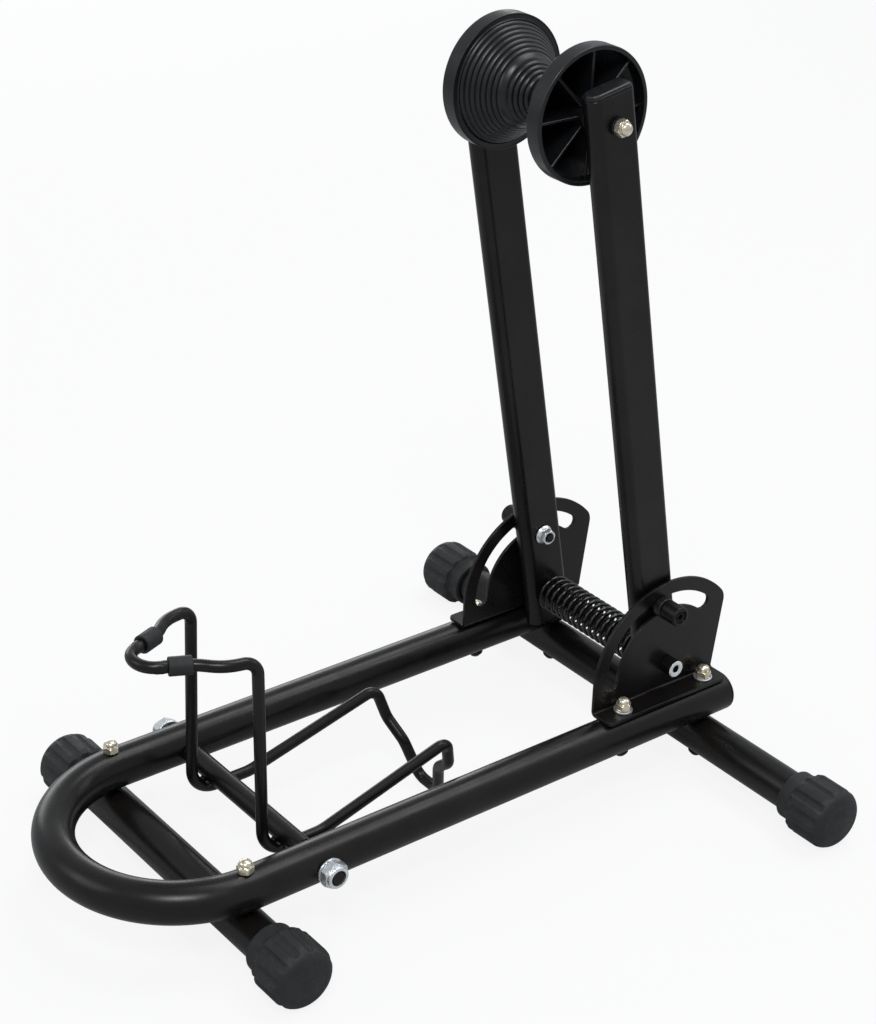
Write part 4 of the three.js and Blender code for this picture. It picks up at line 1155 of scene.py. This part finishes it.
class RACK_OT_pivot(bpy.types.Operator):
    """Sets the mast's shaft, knurled pivot screws and spacers"""

    bl_idname = "rack.pivot"
    bl_label = "Mast pivot"

    def execute(self, context):
        size = extent("pivot_shaft")
        shape = rod(size.y / 2, size.x / 2, 1 * MM, PIVOT)
        make("mast_shaft", shape, "base", "black_steel", "pivot_shaft")

        seat = WEB_INNER + context.scene.rack_base.sheet + CLEAR
        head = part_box("pivot_screw_far")[1].y - seat
        diameter = extent("pivot_screw_far").x
        shank, key, recess = 16 * MM, 5.2 * MM, 2.6 * MM
        screw_shape = socket_screw(diameter, head, shank, key, recess, 30, 0.25 * MM)
        face_from = seat + head - 1.3 * MM
        rim_from = seat + head - 0.8 * MM

        # Picks the rim, the end face and the socket's mouth, where the bright zinc is a painted highlight
        def plated_end(at):
            off = math.hypot(at.x - PIVOT.x, at.z - PIVOT.z)
            return abs(at.y) > rim_from or (off < diameter * 0.3 and abs(at.y) > face_from)

        size = extent("pivot_spacer_far")
        disc = round_washer(size.x, 12.6 * MM, size.y, 0.3 * MM)
        for where, side in SIDES:
            spot = outward(PIVOT.x, seat, PIVOT.z, side)
            # The screw's head is black steel. Its rim, end face and socket mouth are painted bright zinc as
            # a painted highlight, and the deeper socket stays black as painted shade
            screw = mesh_object(f"knurled_screw_{where}", placed(screw_shape, spot))
            finished(screw, finish_for("black_steel"), "base", "bright_zinc", f"pivot_screw_{where}")
            paint(screw, finish_for("bright_zinc"), plated_end)
            spot = outward(PIVOT.x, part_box("pivot_spacer_far")[0].y, PIVOT.z, side)
            node = f"pivot_spacer_{where}"
            make(f"friction_disc_{where}", placed(disc, spot), "mast", "black_plastic", node)
        return {"FINISHED"}


class RACK_OT_spring(bpy.types.Operator):
    """Winds the spring round the mast's shaft, with a hook at each end"""

    bl_idname = "rack.spring"
    bl_label = "Spring"

    def execute(self, context):
        sizes = context.scene.rack_mast
        radius = (sizes.spring_diameter - sizes.spring_wire) / 2
        half = UPRIGHT_INNER - CLEAR - sizes.spring_wire / 2
        around = 32  # stations in a turn
        steps = sizes.spring_turns * around
        rise = 2 * half / steps
        helix = []
        for k in range(steps + 1):
            angle = 2 * math.pi * k / around
            helix.append(Vector((radius * math.cos(angle), rise * k - half, radius * math.sin(angle))))
        hook = sizes.spring_hook

        def hooked(forward):
            """The end of the wire, bent in towards the shaft."""
            steps = 8
            line = []
            for k in range(1, steps + 1):
                angle = math.pi / 2 * k / steps
                out = radius - hook * (1 - math.cos(angle))
                line.append(Vector((out, forward * half, forward * hook * math.sin(angle))))
            line.append(line[-1] - Vector((sizes.spring_wire, 0, 0)))
            return line

        line = hooked(-1)[::-1] + helix + hooked(1)
        line = [MAST @ point for point in line]
        piece = wire_piece("mast_spring", line, sizes.spring_wire / 2, 20, finish_for("spring_black"))
        finished(piece, finish_for("spring_black"), "mast", "spring_black", "pivot_spring")
        return {"FINISHED"}


def upright_outline(sizes, inset):
    """Section of an upright: a round front edge and two small rear corners."""
    half = sizes.width / 2 - inset
    thick = (UPRIGHT_OUTER - UPRIGHT_INNER) / 2 - inset
    rear = sizes.rear_corner - min(inset, sizes.rear_corner * 0.8)
    arcs = (
        (-half + thick, 0, thick, 90, 270, 24),
        (half - rear, -thick + rear, rear, 270, 360, 8),
        (half - rear, thick - rear, rear, 0, 90, 8),
    )
    points = []
    for x, y, radius, first, last, steps in arcs:
        for k in range(steps + 1):
            angle = math.radians(first + (last - first) * k / steps)
            points.append((x + radius * math.cos(angle), y + radius * math.sin(angle)))
    return points


class RACK_OT_uprights(bpy.types.Operator):
    """Makes the mast's two uprights and their plastic caps"""

    bl_idname = "rack.uprights"
    bl_label = "Uprights"

    def execute(self, context):
        sizes = context.scene.rack_mast
        middle_y = (UPRIGHT_INNER + UPRIGHT_OUTER) / 2
        top = AXLE_HEIGHT + sizes.above_axle
        edge = 0.3 * MM

        def section(inset, height, side):
            """Loop of an upright's section, made smaller by inset, at a height over the pivot."""
            outline = upright_outline(sizes, inset)
            return [MAST @ Vector((x, side * middle_y + y, height)) for x, y in outline]

        foot = -sizes.below_pivot
        rows = 20
        sides = [(0, foot + (top - foot) * k / rows) for k in range(1, rows)]
        tube = [(edge, foot), (0, edge + foot), *sides, (0, top - edge), (edge, top)]
        tube += [(sizes.wall, top), (sizes.wall, foot)]
        for where, side in SIDES:
            shape = skin([section(*level, side) for level in tube], ring=True)
            make(f"mast_upright_{where}", shape, "mast", "powder_coat", f"upright_{where}")
            shape = skin([section(*level, side) for level in self.cap(sizes, top)])
            make(f"mast_top_cap_{where}", shape, "mast", "black_plastic", f"upright_cap_{where}")
        return {"FINISHED"}

    def cap(self, sizes, top):
        """Insets and heights of a cap's sections: stem, lip and crown."""
        seat = top + 0.25 * MM
        lip = seat + sizes.cap_lip
        stem = sizes.wall + CLEAR
        side = 0.1 * MM
        levels = [(stem, top - 8 * MM), (stem, seat), (0.4 * MM, seat), (side, seat + 0.3 * MM)]
        levels += [(side, lip - 0.5 * MM), (0.3 * MM, lip - side), (0.8 * MM, lip)]
        steps = 5
        for k in range(steps + 1):
            angle = math.pi / 2 * k / steps
            inset = 0.9 * MM + 1.6 * MM * (1 - math.cos(angle))
            levels.append((inset, lip + sizes.cap_crown * math.sin(angle)))
        return levels


class RACK_OT_guides(bpy.types.Operator):
    """Sets the bolts that slide in the brackets' slots"""

    bl_idname = "rack.guides"
    bl_label = "Guide bolts"

    def execute(self, context):
        reach = context.scene.rack_base.slot_radius
        web_outer = WEB_INNER + context.scene.rack_base.sheet
        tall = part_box("guide_collar_far")[1].y - web_outer - CLEAR
        face = web_outer + CLEAR
        bush = 5.1 * MM
        radius = 7.5 * MM
        inner = UPRIGHT_OUTER + CLEAR
        corners = [
            (LOOSE_BORE, inner - face),
            (bush, inner - face),
            (bush, 0),
            (radius, 0, 0.5 * MM),
            (radius, tall, 0.8 * MM),
            (LOOSE_BORE, tall),
        ]
        collar = turned(soften(corners, 3, closed=True), TURNED_SIDES, ring=True)
        seat = face + tall + CLEAR
        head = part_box("guide_bolt_far")[1].y - seat
        bolt = self.knob(7.2 * MM, head, seat - 45 * MM)
        nut = flange_nut(14.2 * MM, 10 * MM, 7 * MM, 2.2 * MM)
        inwards = Matrix.Rotation(math.pi, 4, "X")
        for where, side in SIDES:
            for label, shape, at, turn, slot, node in (
                ("guide_bush", collar, face, None, "black_plastic", "guide_collar"),
                ("guide_screw", bolt, seat, None, "black_steel", "guide_bolt"),
                ("guide_flange_nut", nut, UPRIGHT_INNER - CLEAR, inwards, "bright_zinc", "guide_nut"),
            ):
                spot = outward(0, at, reach, side)
                spot = MAST @ (spot @ turn if turn else spot)
                make(f"{label}_{where}", placed(shape, spot), "mast", slot, f"{node}_{where}")
        return {"FINISHED"}

    def knob(self, radius, height, reach):
        """Round head along +Y with a raised ring in its hollow end, and the shank behind it."""
        hollow = height - 1.6 * MM
        ring = height - 0.5 * MM
        key, flats = 2.2 * MM, 3.9 * MM
        corners = [
            (SHANK / 2, -reach),
            (SHANK / 2, 0),
            (radius - 0.4 * MM, 0, 0.3 * MM),
            (radius, 1.5 * MM, 0.5 * MM),
            (radius, height, 1.1 * MM),
            (radius * 0.68, height, 0.4 * MM),
            (radius * 0.64, hollow, 0.5 * MM),
            (radius * 0.42, hollow, 0.4 * MM),
            (radius * 0.4, ring, 0.3 * MM),
            (key, ring, 0.2 * MM),
            (key, height - 4 * MM),
            (0.6 * MM, height - 4.5 * MM),
        ]
        socket = hex_form(flats, height)
        near = 0.01 * MM

        def form(at, tall, angle):
            return socket(at, tall, angle) if at <= key + near and tall > 0 else at

        return turned(soften(corners, 4), TURNED_SIDES, form)


class RACK_OT_axle(bpy.types.Operator):
    """Sets the rollers' axle with its washers and domed nuts"""

    bl_idname = "rack.axle"
    bl_label = "Roller axle"

    def execute(self, context):
        shape = rod(extent("roller_axle").y / 2, SHANK / 2, 0.5 * MM, AXLE)
        make("roller_spindle", shape, "mast", "black_steel", "roller_axle")
        # The washers behind the domed nuts are black plastic; the dark ring that they show round each nut is
        # painted shade
        ring = round_washer(11.5 * MM, WASHER_BORE, extent("axle_washer_far").y, 0.5 * MM)
        lean = Matrix.Rotation(math.radians(12), 4, "Y")
        for slot, shape, label, node in (
            ("black_plastic", ring, "spindle_washers", "axle_washer_{}"),
            ("yellow_zinc", acorn_nut(), "spindle_nuts", "axle_nut_{}"),
        ):
            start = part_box(node.format("far"))[0].y
            spots = [outward(AXLE.x, start, AXLE.z, side) @ lean for _, side in SIDES]
            make_copies(label, shape, spots, "mast", slot, *named(node))
        return {"FINISHED"}


class RACK_OT_rollers(bpy.types.Operator):
    """Moulds the two ridged cone rollers with their ribs"""

    bl_idname = "rack.rollers"
    bl_label = "Cone rollers"

    BOSS = 6.1 * MM  # from the rim's back to the upright
    HUB_ROOT = 12 * MM  # from the waist's face to where hub and cone part
    # Rounded steps on the cone from the waist out, as shares of its run, with a plain band among them
    RUNS = [1.0] * 4 + [1.9] + [1.0] * 7
    GROOVE = 0.06  # share of a step that its groove takes on either side

    def execute(self, context):
        sizes = context.scene.rack_mast
        low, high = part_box("roller_far")
        rim = (high.z - low.z) / 2
        front, boss_end = low.y, high.y
        back = UPRIGHT_INNER - self.BOSS
        body = self.body(sizes, rim, front, back, boss_end)
        rib = self.rib(sizes, rim, front, back)
        tree = tree_named("spokes_round_axle", spokes_tree)
        plastic = finish_for("black_plastic")
        values = {"Count": sizes.ribs, "Start": sizes.rib_turn - MAST_LEAN, "Finish": plastic}
        for where, side in SIDES:
            ribs = run_tree(mesh_object(f"ribs_{where}", rib), tree, values)
            points = [vertex.co.copy() for vertex in ribs.data.vertices]
            spokes = points, [tuple(face.vertices) for face in ribs.data.polygons]
            bpy.data.objects.remove(ribs)
            flip = Matrix.Scale(side, 4, (0, 1, 0))
            shape = placed(joined(body, spokes), Matrix.Translation(AXLE) @ flip)
            make(f"cone_roller_{where}", shape, f"roller_{where}", "black_plastic", f"roller_{where}")
        return {"FINISHED"}

    def body(self, sizes, rim, front, back, boss_end):
        """Section of a roller from its bore round the stepped cone, the rim and the hub."""
        waist = sizes.roller_waist / 2
        rim_from = back - sizes.roller_rim
        cone = rim - sizes.ledge - waist
        drop = rim_from - front
        slant = math.hypot(cone, drop)
        out = Vector((drop, -cone)) / slant
        corners = [(LOOSE_BORE, front), (waist - 1.2 * MM, front)]
        at = 0
        steps = 8
        fullness, sunk = 0.45, 0.8

        def on_cone(run, lift):
            share = run / sum(self.RUNS)
            return Vector((waist + cone * share, front + drop * share)) + out * lift

        for run in self.RUNS:
            for k in range(steps + 1):
                lift = sizes.step_rise * (math.sin(math.pi * k / steps) ** fullness - sunk)
                on = on_cone(at + run * (self.GROOVE + (1 - 2 * self.GROOVE) * k / steps), lift)
                corners.append((on.x, max(on.y, front)))
            at += run
            corners.append(tuple(on_cone(at, -sizes.step_rise)))
        ledge = rim - sizes.ledge
        flat = rim_from + 0.5 * MM
        wall = sizes.roller_wall
        corners += [
            (ledge, rim_from - 0.3 * MM),
            (ledge + 0.5 * MM, flat, 0.4 * MM),
            (rim - 1.0 * MM, flat, 0.3 * MM),
            (rim - 0.6 * MM, rim_from, 0.5 * MM),
            (rim, rim_from + 0.2 * MM, 0.8 * MM),
            (rim, back, 0.9 * MM),
            (rim - wall, back, 0.6 * MM),
            (rim - wall, rim_from + wall, 2 * MM),
            (sizes.roller_hub / 2, front + self.HUB_ROOT, 1.5 * MM),
            (sizes.roller_hub / 2, back, 0.6 * MM),
            (sizes.roller_boss / 2, back, 0.5 * MM),
            (sizes.roller_boss / 2, boss_end, 0.4 * MM),
            (LOOSE_BORE, boss_end),
        ]
        return turned(soften(corners, 3, closed=True), BIG_ROUND, ring=True)

    def rib(self, sizes, rim, front, back):
        """One rib from the hub to the rim, standing on the cone's back."""
        root = 1 * MM  # how deep a rib runs into what carries it
        hub = sizes.roller_hub / 2 - root
        out = rim - sizes.roller_wall
        rim_from = back - sizes.roller_rim + sizes.roller_wall
        top = back - sizes.rib_sink
        outline = [
            (hub, front + self.HUB_ROOT - root),
            (out, rim_from - root),
            (out + root, rim_from),
            (out + root, top),
            (hub, top),
        ]
        half = sizes.rib_thickness / 2
        edge = 0.3 * MM
        thin = half - edge
        loops = []
        for offset, shrink in ((-half, edge), (-thin, 0), (thin, 0), (half, edge)):
            loops.append([Vector((x, y - (shrink if y == top else 0), offset)) for x, y in outline])
        return skin(loops)


class RACK_OT_cradle(bpy.types.Operator):
    """Bends the wheel cradle's wire, with its tube, welds and grips"""

    bl_idname = "rack.cradle"
    bl_label = "Wheel cradle"

    # Corners in mm. On the hoop: forward of the legs' tops, half width
    SHOULDER, WAIST, NECK = (21.6, 35.2), (34.9, 22.2), (52.3, 14.7)
    # In the valley: half width, depth, bend radius
    VALLEY = ((35.5, 23.6, 12), (20, 36.9, 14), (10.7, 65.2, 10))
    # Bend radii of the other corners, in mm
    BENDS = {
        "nose": 14.5,
        "neck": 20,
        "waist": 34,
        "shoulder": 30,
        "top": 10,
        "foot": 18,
        "rise": 30,
        "end": 8,
    }
    BORE = 5.3 * MM  # radius of the bore of the wire's tube
    BEAD = (2.1 * MM, 1.1 * MM)  # half width and half length of a weld's ripple
    RIPPLES = 7
    GRIP = (6.2 * MM, 7.5 * MM)  # radius and half length of a grip

    def corners(self, sizes):
        """Half of the wire's corners with their bend radii, from the hoop's nose to the valley's floor."""
        tube = extent("cradle_tube").z / 2
        under = sizes.sink - tube - sizes.wire / 2
        top = -sizes.hoop_leg + sizes.hoop_lean

        def hoop(forward, half):
            return Vector((top - forward, half, sizes.hoop_height + forward * math.tan(sizes.hoop_rise)))

        rise = math.atan2(sizes.rear_height - under, sizes.rear_reach - sizes.rear_bend)

        def valley(half, depth):
            x = sizes.rear_reach + depth * math.sin(rise)
            return Vector((x, half, sizes.rear_height - depth * math.cos(rise)))

        bends = {place: radius * MM for place, radius in self.BENDS.items()}
        shoulder, waist, neck = [[v * MM for v in pair] for pair in (self.SHOULDER, self.WAIST, self.NECK)]
        line = [
            (hoop(sizes.hoop_nose, 0), 0),
            (hoop(sizes.hoop_nose, neck[1]), bends["nose"]),
            (hoop(*neck), bends["neck"]),
            (hoop(*waist), bends["waist"]),
            (hoop(*shoulder), bends["shoulder"]),
            (hoop(0, sizes.hoop_half), bends["top"]),
            (Vector((-sizes.hoop_leg, sizes.foot_half, under)), bends["foot"]),
            (Vector((sizes.rear_bend, sizes.foot_half, under)), bends["rise"]),
            (valley(sizes.rear_half, 0), bends["end"]),
        ]
        line += [(valley(half * MM, depth * MM), radius * MM) for half, depth, radius in self.VALLEY]
        line.append((valley(0, self.VALLEY[-1][1] * MM), 0))
        return line

    def execute(self, context):
        sizes = context.scene.rack_cradle
        coat = finish_for("powder_coat")
        half = self.corners(sizes)
        other = [(Vector((p.x, -p.y, p.z)), radius) for p, radius in half[1:-1]]
        place = Matrix.Translation((TILT.x, sizes.shift, TILT.z))
        line = bend(half)[:-1] + bend([half[-1]] + other[::-1] + [half[0]])
        wire = wire_piece("cradle_hoop", [place @ point for point in line], sizes.wire / 2, 32, coat)
        finished(wire, coat, "cradle", "powder_coat", "cradle_wire")

        tube = extent("cradle_tube")
        radius, reach = tube.z / 2, tube.y / 2
        edge = 0.3 * MM
        ends = ((self.BORE, -reach), (radius, -reach), (radius, reach), (self.BORE, reach))
        corners = [(*end, edge) for end in ends]
        shape = turned(soften(corners, 3, closed=True), ROUND, ring=True)
        shape = placed(shape, Matrix.Translation(TILT))
        make("cradle_sleeve", shape, "cradle", "powder_coat", "cradle_tube")
        make_copies("cradle_welds", self.bead(), self.welds(sizes, radius), "cradle", "powder_coat")

        points, faces = self.grip(sizes)
        for where, side in SIDES:
            shape = [Vector((p.x, side * p.y, p.z)) for p in points], faces
            make(f"rubber_grip_{where}", placed(shape, place), "cradle", "rubber", f"hoop_grip_{where}")
        return {"FINISHED"}

    def bead(self):
        """One ripple of a weld."""
        steps = 8
        width, height = self.BEAD
        tip = 0.02 * MM
        angles = [math.pi * (k / steps - 0.5) for k in range(steps + 1)]
        return turned([(max(width * math.cos(a), tip), height * math.sin(a)) for a in angles], 16)

    def welds(self, sizes, radius):
        """Ripples on both sides of the tube where each leg of the wire crosses under it."""
        centre = Vector((TILT.x, sizes.shift, TILT.z))
        slope = radius * 0.72
        out, up, sag = 1.2 * MM, 0.3 * MM, 2.4 * MM
        spots = []
        for _, side in SIDES:
            for front in (-1, 1):
                for k in range(self.RIPPLES):
                    share = k / (self.RIPPLES - 1) - 0.5
                    along = Vector((front * (slope + out), 0, up - slope))
                    along.y = side * sizes.foot_half + share * sizes.wire * 1.1
                    along.z -= (0.5 - abs(share)) * sag
                    spots.append(Matrix.Translation(centre + along) @ Matrix.Rotation(0.25 * share, 4, "Z"))
        return spots

    def grip(self, sizes):
        """Rubber sleeve between the hoop's waist and its neck, on the far side."""
        line = self.corners(sizes)
        neck, waist = line[2][0], line[3][0]
        radius, half = self.GRIP
        bore, mouth = sizes.wire / 2 + 0.15 * MM, 0.3 * MM
        edge = sizes.grip_edge
        corners = [(bore, -half, mouth), (radius, -half, edge), (radius, half, edge), (bore, half, mouth)]
        shape = turned(soften(corners, 4, closed=True), TURNED_SIDES, ring=True)
        turn = Vector((0, 1, 0)).rotation_difference(neck - waist).to_matrix().to_4x4()
        return placed(shape, Matrix.Translation(waist.lerp(neck, sizes.grip_place)) @ turn)


class RACK_OT_cradle_rod(bpy.types.Operator):
    """Sets the rod that the cradle turns on, with its washers and lock nuts"""

    bl_idname = "rack.cradle_rod"
    bl_label = "Cradle rod"

    RING = 5.5 * MM  # radius of the black locking ring in the nut's end
    HEXAGON = 6 * MM  # height of the nut's hexagon

    def execute(self, context):
        shape = rod(extent("cradle_rod").y / 2, 5 * MM, 0.8 * MM, TILT)
        make("cradle_spindle", shape, "base", "black_steel", "cradle_rod")
        ring = round_washer(18.8 * MM, 10.6 * MM, extent("rod_washer_far").y, 0.4 * MM)
        turn = Matrix.Rotation(math.radians(30), 4, "Y")
        for shape, label, node in (
            (ring, "spindle_flat_washers", "rod_washer_{}"),
            (self.lock_nut(), "spindle_lock_nuts", "rod_nut_{}"),
        ):
            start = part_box(node.format("far"))[0].y
            spots = [outward(TILT.x, start, TILT.z, side) @ turn for _, side in SIDES]
            piece = make_copies(label, shape, spots, "base", "bright_zinc", *named(node))
        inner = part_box("rod_nut_far")[0].y + self.HEXAGON

        def locking_ring(at):
            return abs(at.y) > inner and math.hypot(at.x - TILT.x, at.z - TILT.z) < self.RING

        paint(piece, finish_for("black_plastic"), locking_ring)
        return {"FINISHED"}

    def lock_nut(self):
        """Hexagon nut along +Y with a round collar crimped over a ring."""
        flats, top, height = 17 * MM, self.HEXAGON, 8.3 * MM
        bore = 5.2 * MM
        collar = 7.8 * MM
        sunk = height - 0.25 * MM
        profile = [(bore, 0), (flats / 2 - 0.3 * MM, 0)] + hex_sides(flats, top, 1 * MM)
        edge = 0.9 * MM
        profile += [(collar + 0.1 * MM, top + 0.05 * MM), (collar, top + 0.5 * MM), (collar, height - edge)]
        profile += [(collar - 0.3 * MM, height - 0.35 * MM), (collar - edge, height)]
        profile += [(self.RING, height), (self.RING, sunk), (bore, sunk)]
        return turned(profile, TURNED_SIDES, hex_form(flats, top), ring=True)


class RACK_OT_stage(bpy.types.Operator):
    """Sets the floor, the lights and the camera"""

    bl_idname = "rack.stage"
    bl_label = "Studio"

    # Camera place and view, in the rack's frame
    CAMERA = (-779.8 * MM, -1057.2 * MM, 922.19 * MM)
    AZIMUTH, ELEVATION, ROLL = math.radians(-37.862), math.radians(28.338), math.radians(1.394)
    PHOTO_WIDTH, PHOTO_HEIGHT = 876, 1024
    FOCAL_PIXELS = 2297.7
    CENTRE = (428.12, 538.04)  # the lens's own centre, in pixels of that frame
    CLIP = (0.05, 50)
    REACH = 12  # from the rack to the floor's edges
    WHITE = 0.965  # what the camera sees of the paper and the backdrop, where 1 clips
    SEEN = 0.9  # share of that white in the floor. The rest keeps the rack's shadow
    GLOSS_SHARE, GLOSS_GLOW = 0.55, 0.12  # how much dimmer the floor is in the rack's gloss
    SOFT, SOFT_STRENGTH = (0.9, 0.95, 1.0, 1), 0.55
    # Softboxes: name, place, aim, width, height, power in watts
    LAMPS = (
        ("front_softbox", (-1.0, -1.25, 2.4), (0, 0, 0.3), 0.8, 0.7, 28),
        ("side_softbox", (2.5, -0.8, 1.7), (0, 0, 0.2), 1.2, 1.4, 7),
        ("back_wall", (0.8, 2.6, 0.6), (0, 0, 0.2), 2.6, 1.0, 20),
        ("left_softbox", (-2.2, 1.0, 1.8), (0, 0, 0.2), 1.4, 1.2, 10),
        ("top_softbox", (1.1, 0.0, 2.5), (0, 0, 0), 1.7, 1.3, 25),
    )

    def execute(self, context):
        scene = context.scene
        scene.view_settings.view_transform = "Standard"
        self.floor(scene.rack_colours.floor)
        self.world(scene)
        for name, place, aim, width, height, power in self.LAMPS:
            lamp = bpy.data.lights.new(name, "AREA")
            lamp.shape = "RECTANGLE"
            lamp.size, lamp.size_y, lamp.energy = width, height, power
            box = bpy.data.objects.new(name, lamp)
            box.location = place
            box.rotation_euler = (Vector(aim) - Vector(place)).to_track_quat("-Z", "Y").to_euler()
            context.collection.objects.link(box)
        self.camera(scene)
        return {"FINISHED"}

    def camera(self, scene):
        """Camera at the photograph's place and angle."""
        lens = bpy.data.cameras.new("photo_camera")
        lens.lens = lens.sensor_width * self.FOCAL_PIXELS / self.PHOTO_HEIGHT
        lens.shift_x = (self.PHOTO_WIDTH / 2 - self.CENTRE[0]) / self.PHOTO_HEIGHT
        lens.shift_y = (self.CENTRE[1] - self.PHOTO_HEIGHT / 2) / self.PHOTO_HEIGHT
        lens.clip_start, lens.clip_end = self.CLIP
        eye = bpy.data.objects.new("photo_camera", lens)
        level = math.cos(self.ELEVATION)
        back = Vector(
            (math.sin(self.AZIMUTH) * level, -math.cos(self.AZIMUTH) * level, math.sin(self.ELEVATION))
        )
        right = Vector((0, 0, 1)).cross(back).normalized()
        up = back.cross(right)
        right = right * math.cos(self.ROLL) + up * math.sin(self.ROLL)
        aim = Matrix((right, back.cross(right), back)).transposed().to_4x4()
        eye.matrix_world = Matrix.Translation(self.CAMERA) @ aim
        scene.collection.objects.link(eye)
        scene.camera = eye

    def seen(self, tree):
        """1 for the camera's own rays, and 0 for the rays that light the rack or show in its gloss."""
        return add_node(tree, "ShaderNodeLightPath").outputs["Is Camera Ray"]

    def floor(self, tint):
        """Pale paper that shows white to the camera and keeps the rack's shadow."""
        corners = ((-1, -1), (1, -1), (1, 1), (-1, 1))
        shape = [Vector((x * self.REACH, y * self.REACH, 0)) for x, y in corners]
        floor = mesh_object("studio_floor", (shape, [(0, 1, 2, 3)]))
        paper = bpy.data.materials.new("studio_paper")
        paper.use_nodes = True
        tree = paper.node_tree
        shader = tree.nodes["Principled BSDF"]
        fill(tree, shader, {"Base Color": (*tint, 1), "Roughness": 0.9, "Specular IOR Level": 0.1})
        glossy = add_node(tree, "ShaderNodeLightPath").outputs["Is Glossy Ray"]
        # The floor is dimmer in the rack's own gloss, where the photograph's paper ends
        for ray, share, strength in (
            (self.seen(tree), self.SEEN, self.WHITE),
            (glossy, self.GLOSS_SHARE, self.GLOSS_GLOW),
        ):
            glow = add_node(tree, "ShaderNodeEmission", None, {"Color": (1, 1, 1, 1), "Strength": strength})
            part = add_node(tree, "ShaderNodeMath", {"operation": "MULTIPLY"}, {0: ray, 1: share})
            inputs = {0: part.outputs[0], 1: shader.outputs[0], 2: glow.outputs[0]}
            shader = add_node(tree, "ShaderNodeMixShader", None, inputs)
        tree.links.new(shader.outputs[0], tree.nodes["Material Output"].inputs["Surface"])
        floor.data.materials.append(paper)

    def world(self, scene):
        """Soft pale light all round, white to the camera."""
        world = bpy.data.worlds.new("studio_world")
        world.use_nodes = True
        scene.world = world
        tree = world.node_tree
        soft = tree.nodes["Background"]
        fill(tree, soft, {"Color": self.SOFT, "Strength": self.SOFT_STRENGTH})
        white = add_node(tree, "ShaderNodeBackground", None, {"Color": (1, 1, 1, 1), "Strength": self.WHITE})
        mixed = add_node(
            tree, "ShaderNodeMixShader", None, {0: self.seen(tree), 1: soft.outputs[0], 2: white.outputs[0]}
        )
        tree.links.new(mixed.outputs[0], tree.nodes["World Output"].inputs["Surface"])


OPERATORS = (
    RACK_OT_stage,
    RACK_OT_frame_tube,
    RACK_OT_feet,
    RACK_OT_foot_caps,
    RACK_OT_brackets,
    RACK_OT_base_fasteners,
    RACK_OT_pivot,
    RACK_OT_spring,
    RACK_OT_uprights,
    RACK_OT_guides,
    RACK_OT_axle,
    RACK_OT_rollers,
    RACK_OT_cradle,
    RACK_OT_cradle_rod,
)


class RACK_PT_panel(bpy.types.Panel):
    """Lists the rack's sizes, colours and pieces"""

    bl_idname = "RACK_PT_panel"
    bl_label = "Floor Bike Rack"
    bl_space_type = "VIEW_3D"
    bl_region_type = "UI"
    bl_category = "Bike Rack"

    def draw(self, context):
        for group in GROUPS:
            column = self.layout.column(align=True)
            for field in group.__annotations__:
                column.prop(getattr(context.scene, GROUPS[group]), field)
        for operator in OPERATORS:
            self.layout.operator(operator.bl_idname)


GROUPS = {
    RackBaseSizes: "rack_base",
    RackMastSizes: "rack_mast",
    RackCradleSizes: "rack_cradle",
    RackColours: "rack_colours",
}


def register():
    """Adds the classes and the scene's own sizes and colours."""
    for item in (*GROUPS, *OPERATORS, RACK_PT_panel):
        bpy.utils.register_class(item)
    for group, field in GROUPS.items():
        setattr(bpy.types.Scene, field, PointerProperty(type=group))


def unregister():
    """Takes them out again."""
    for field in GROUPS.values():
        delattr(bpy.types.Scene, field)
    for item in reversed((*GROUPS, *OPERATORS, RACK_PT_panel)):
        bpy.utils.unregister_class(item)


def main():
    """Builds the stage and every piece."""
    register()
    for operator in OPERATORS:
        getattr(bpy.ops.rack, operator.bl_idname.split(".")[1])()
    bpy.context.view_layer.update()


if __name__ == "__main__":
    main()
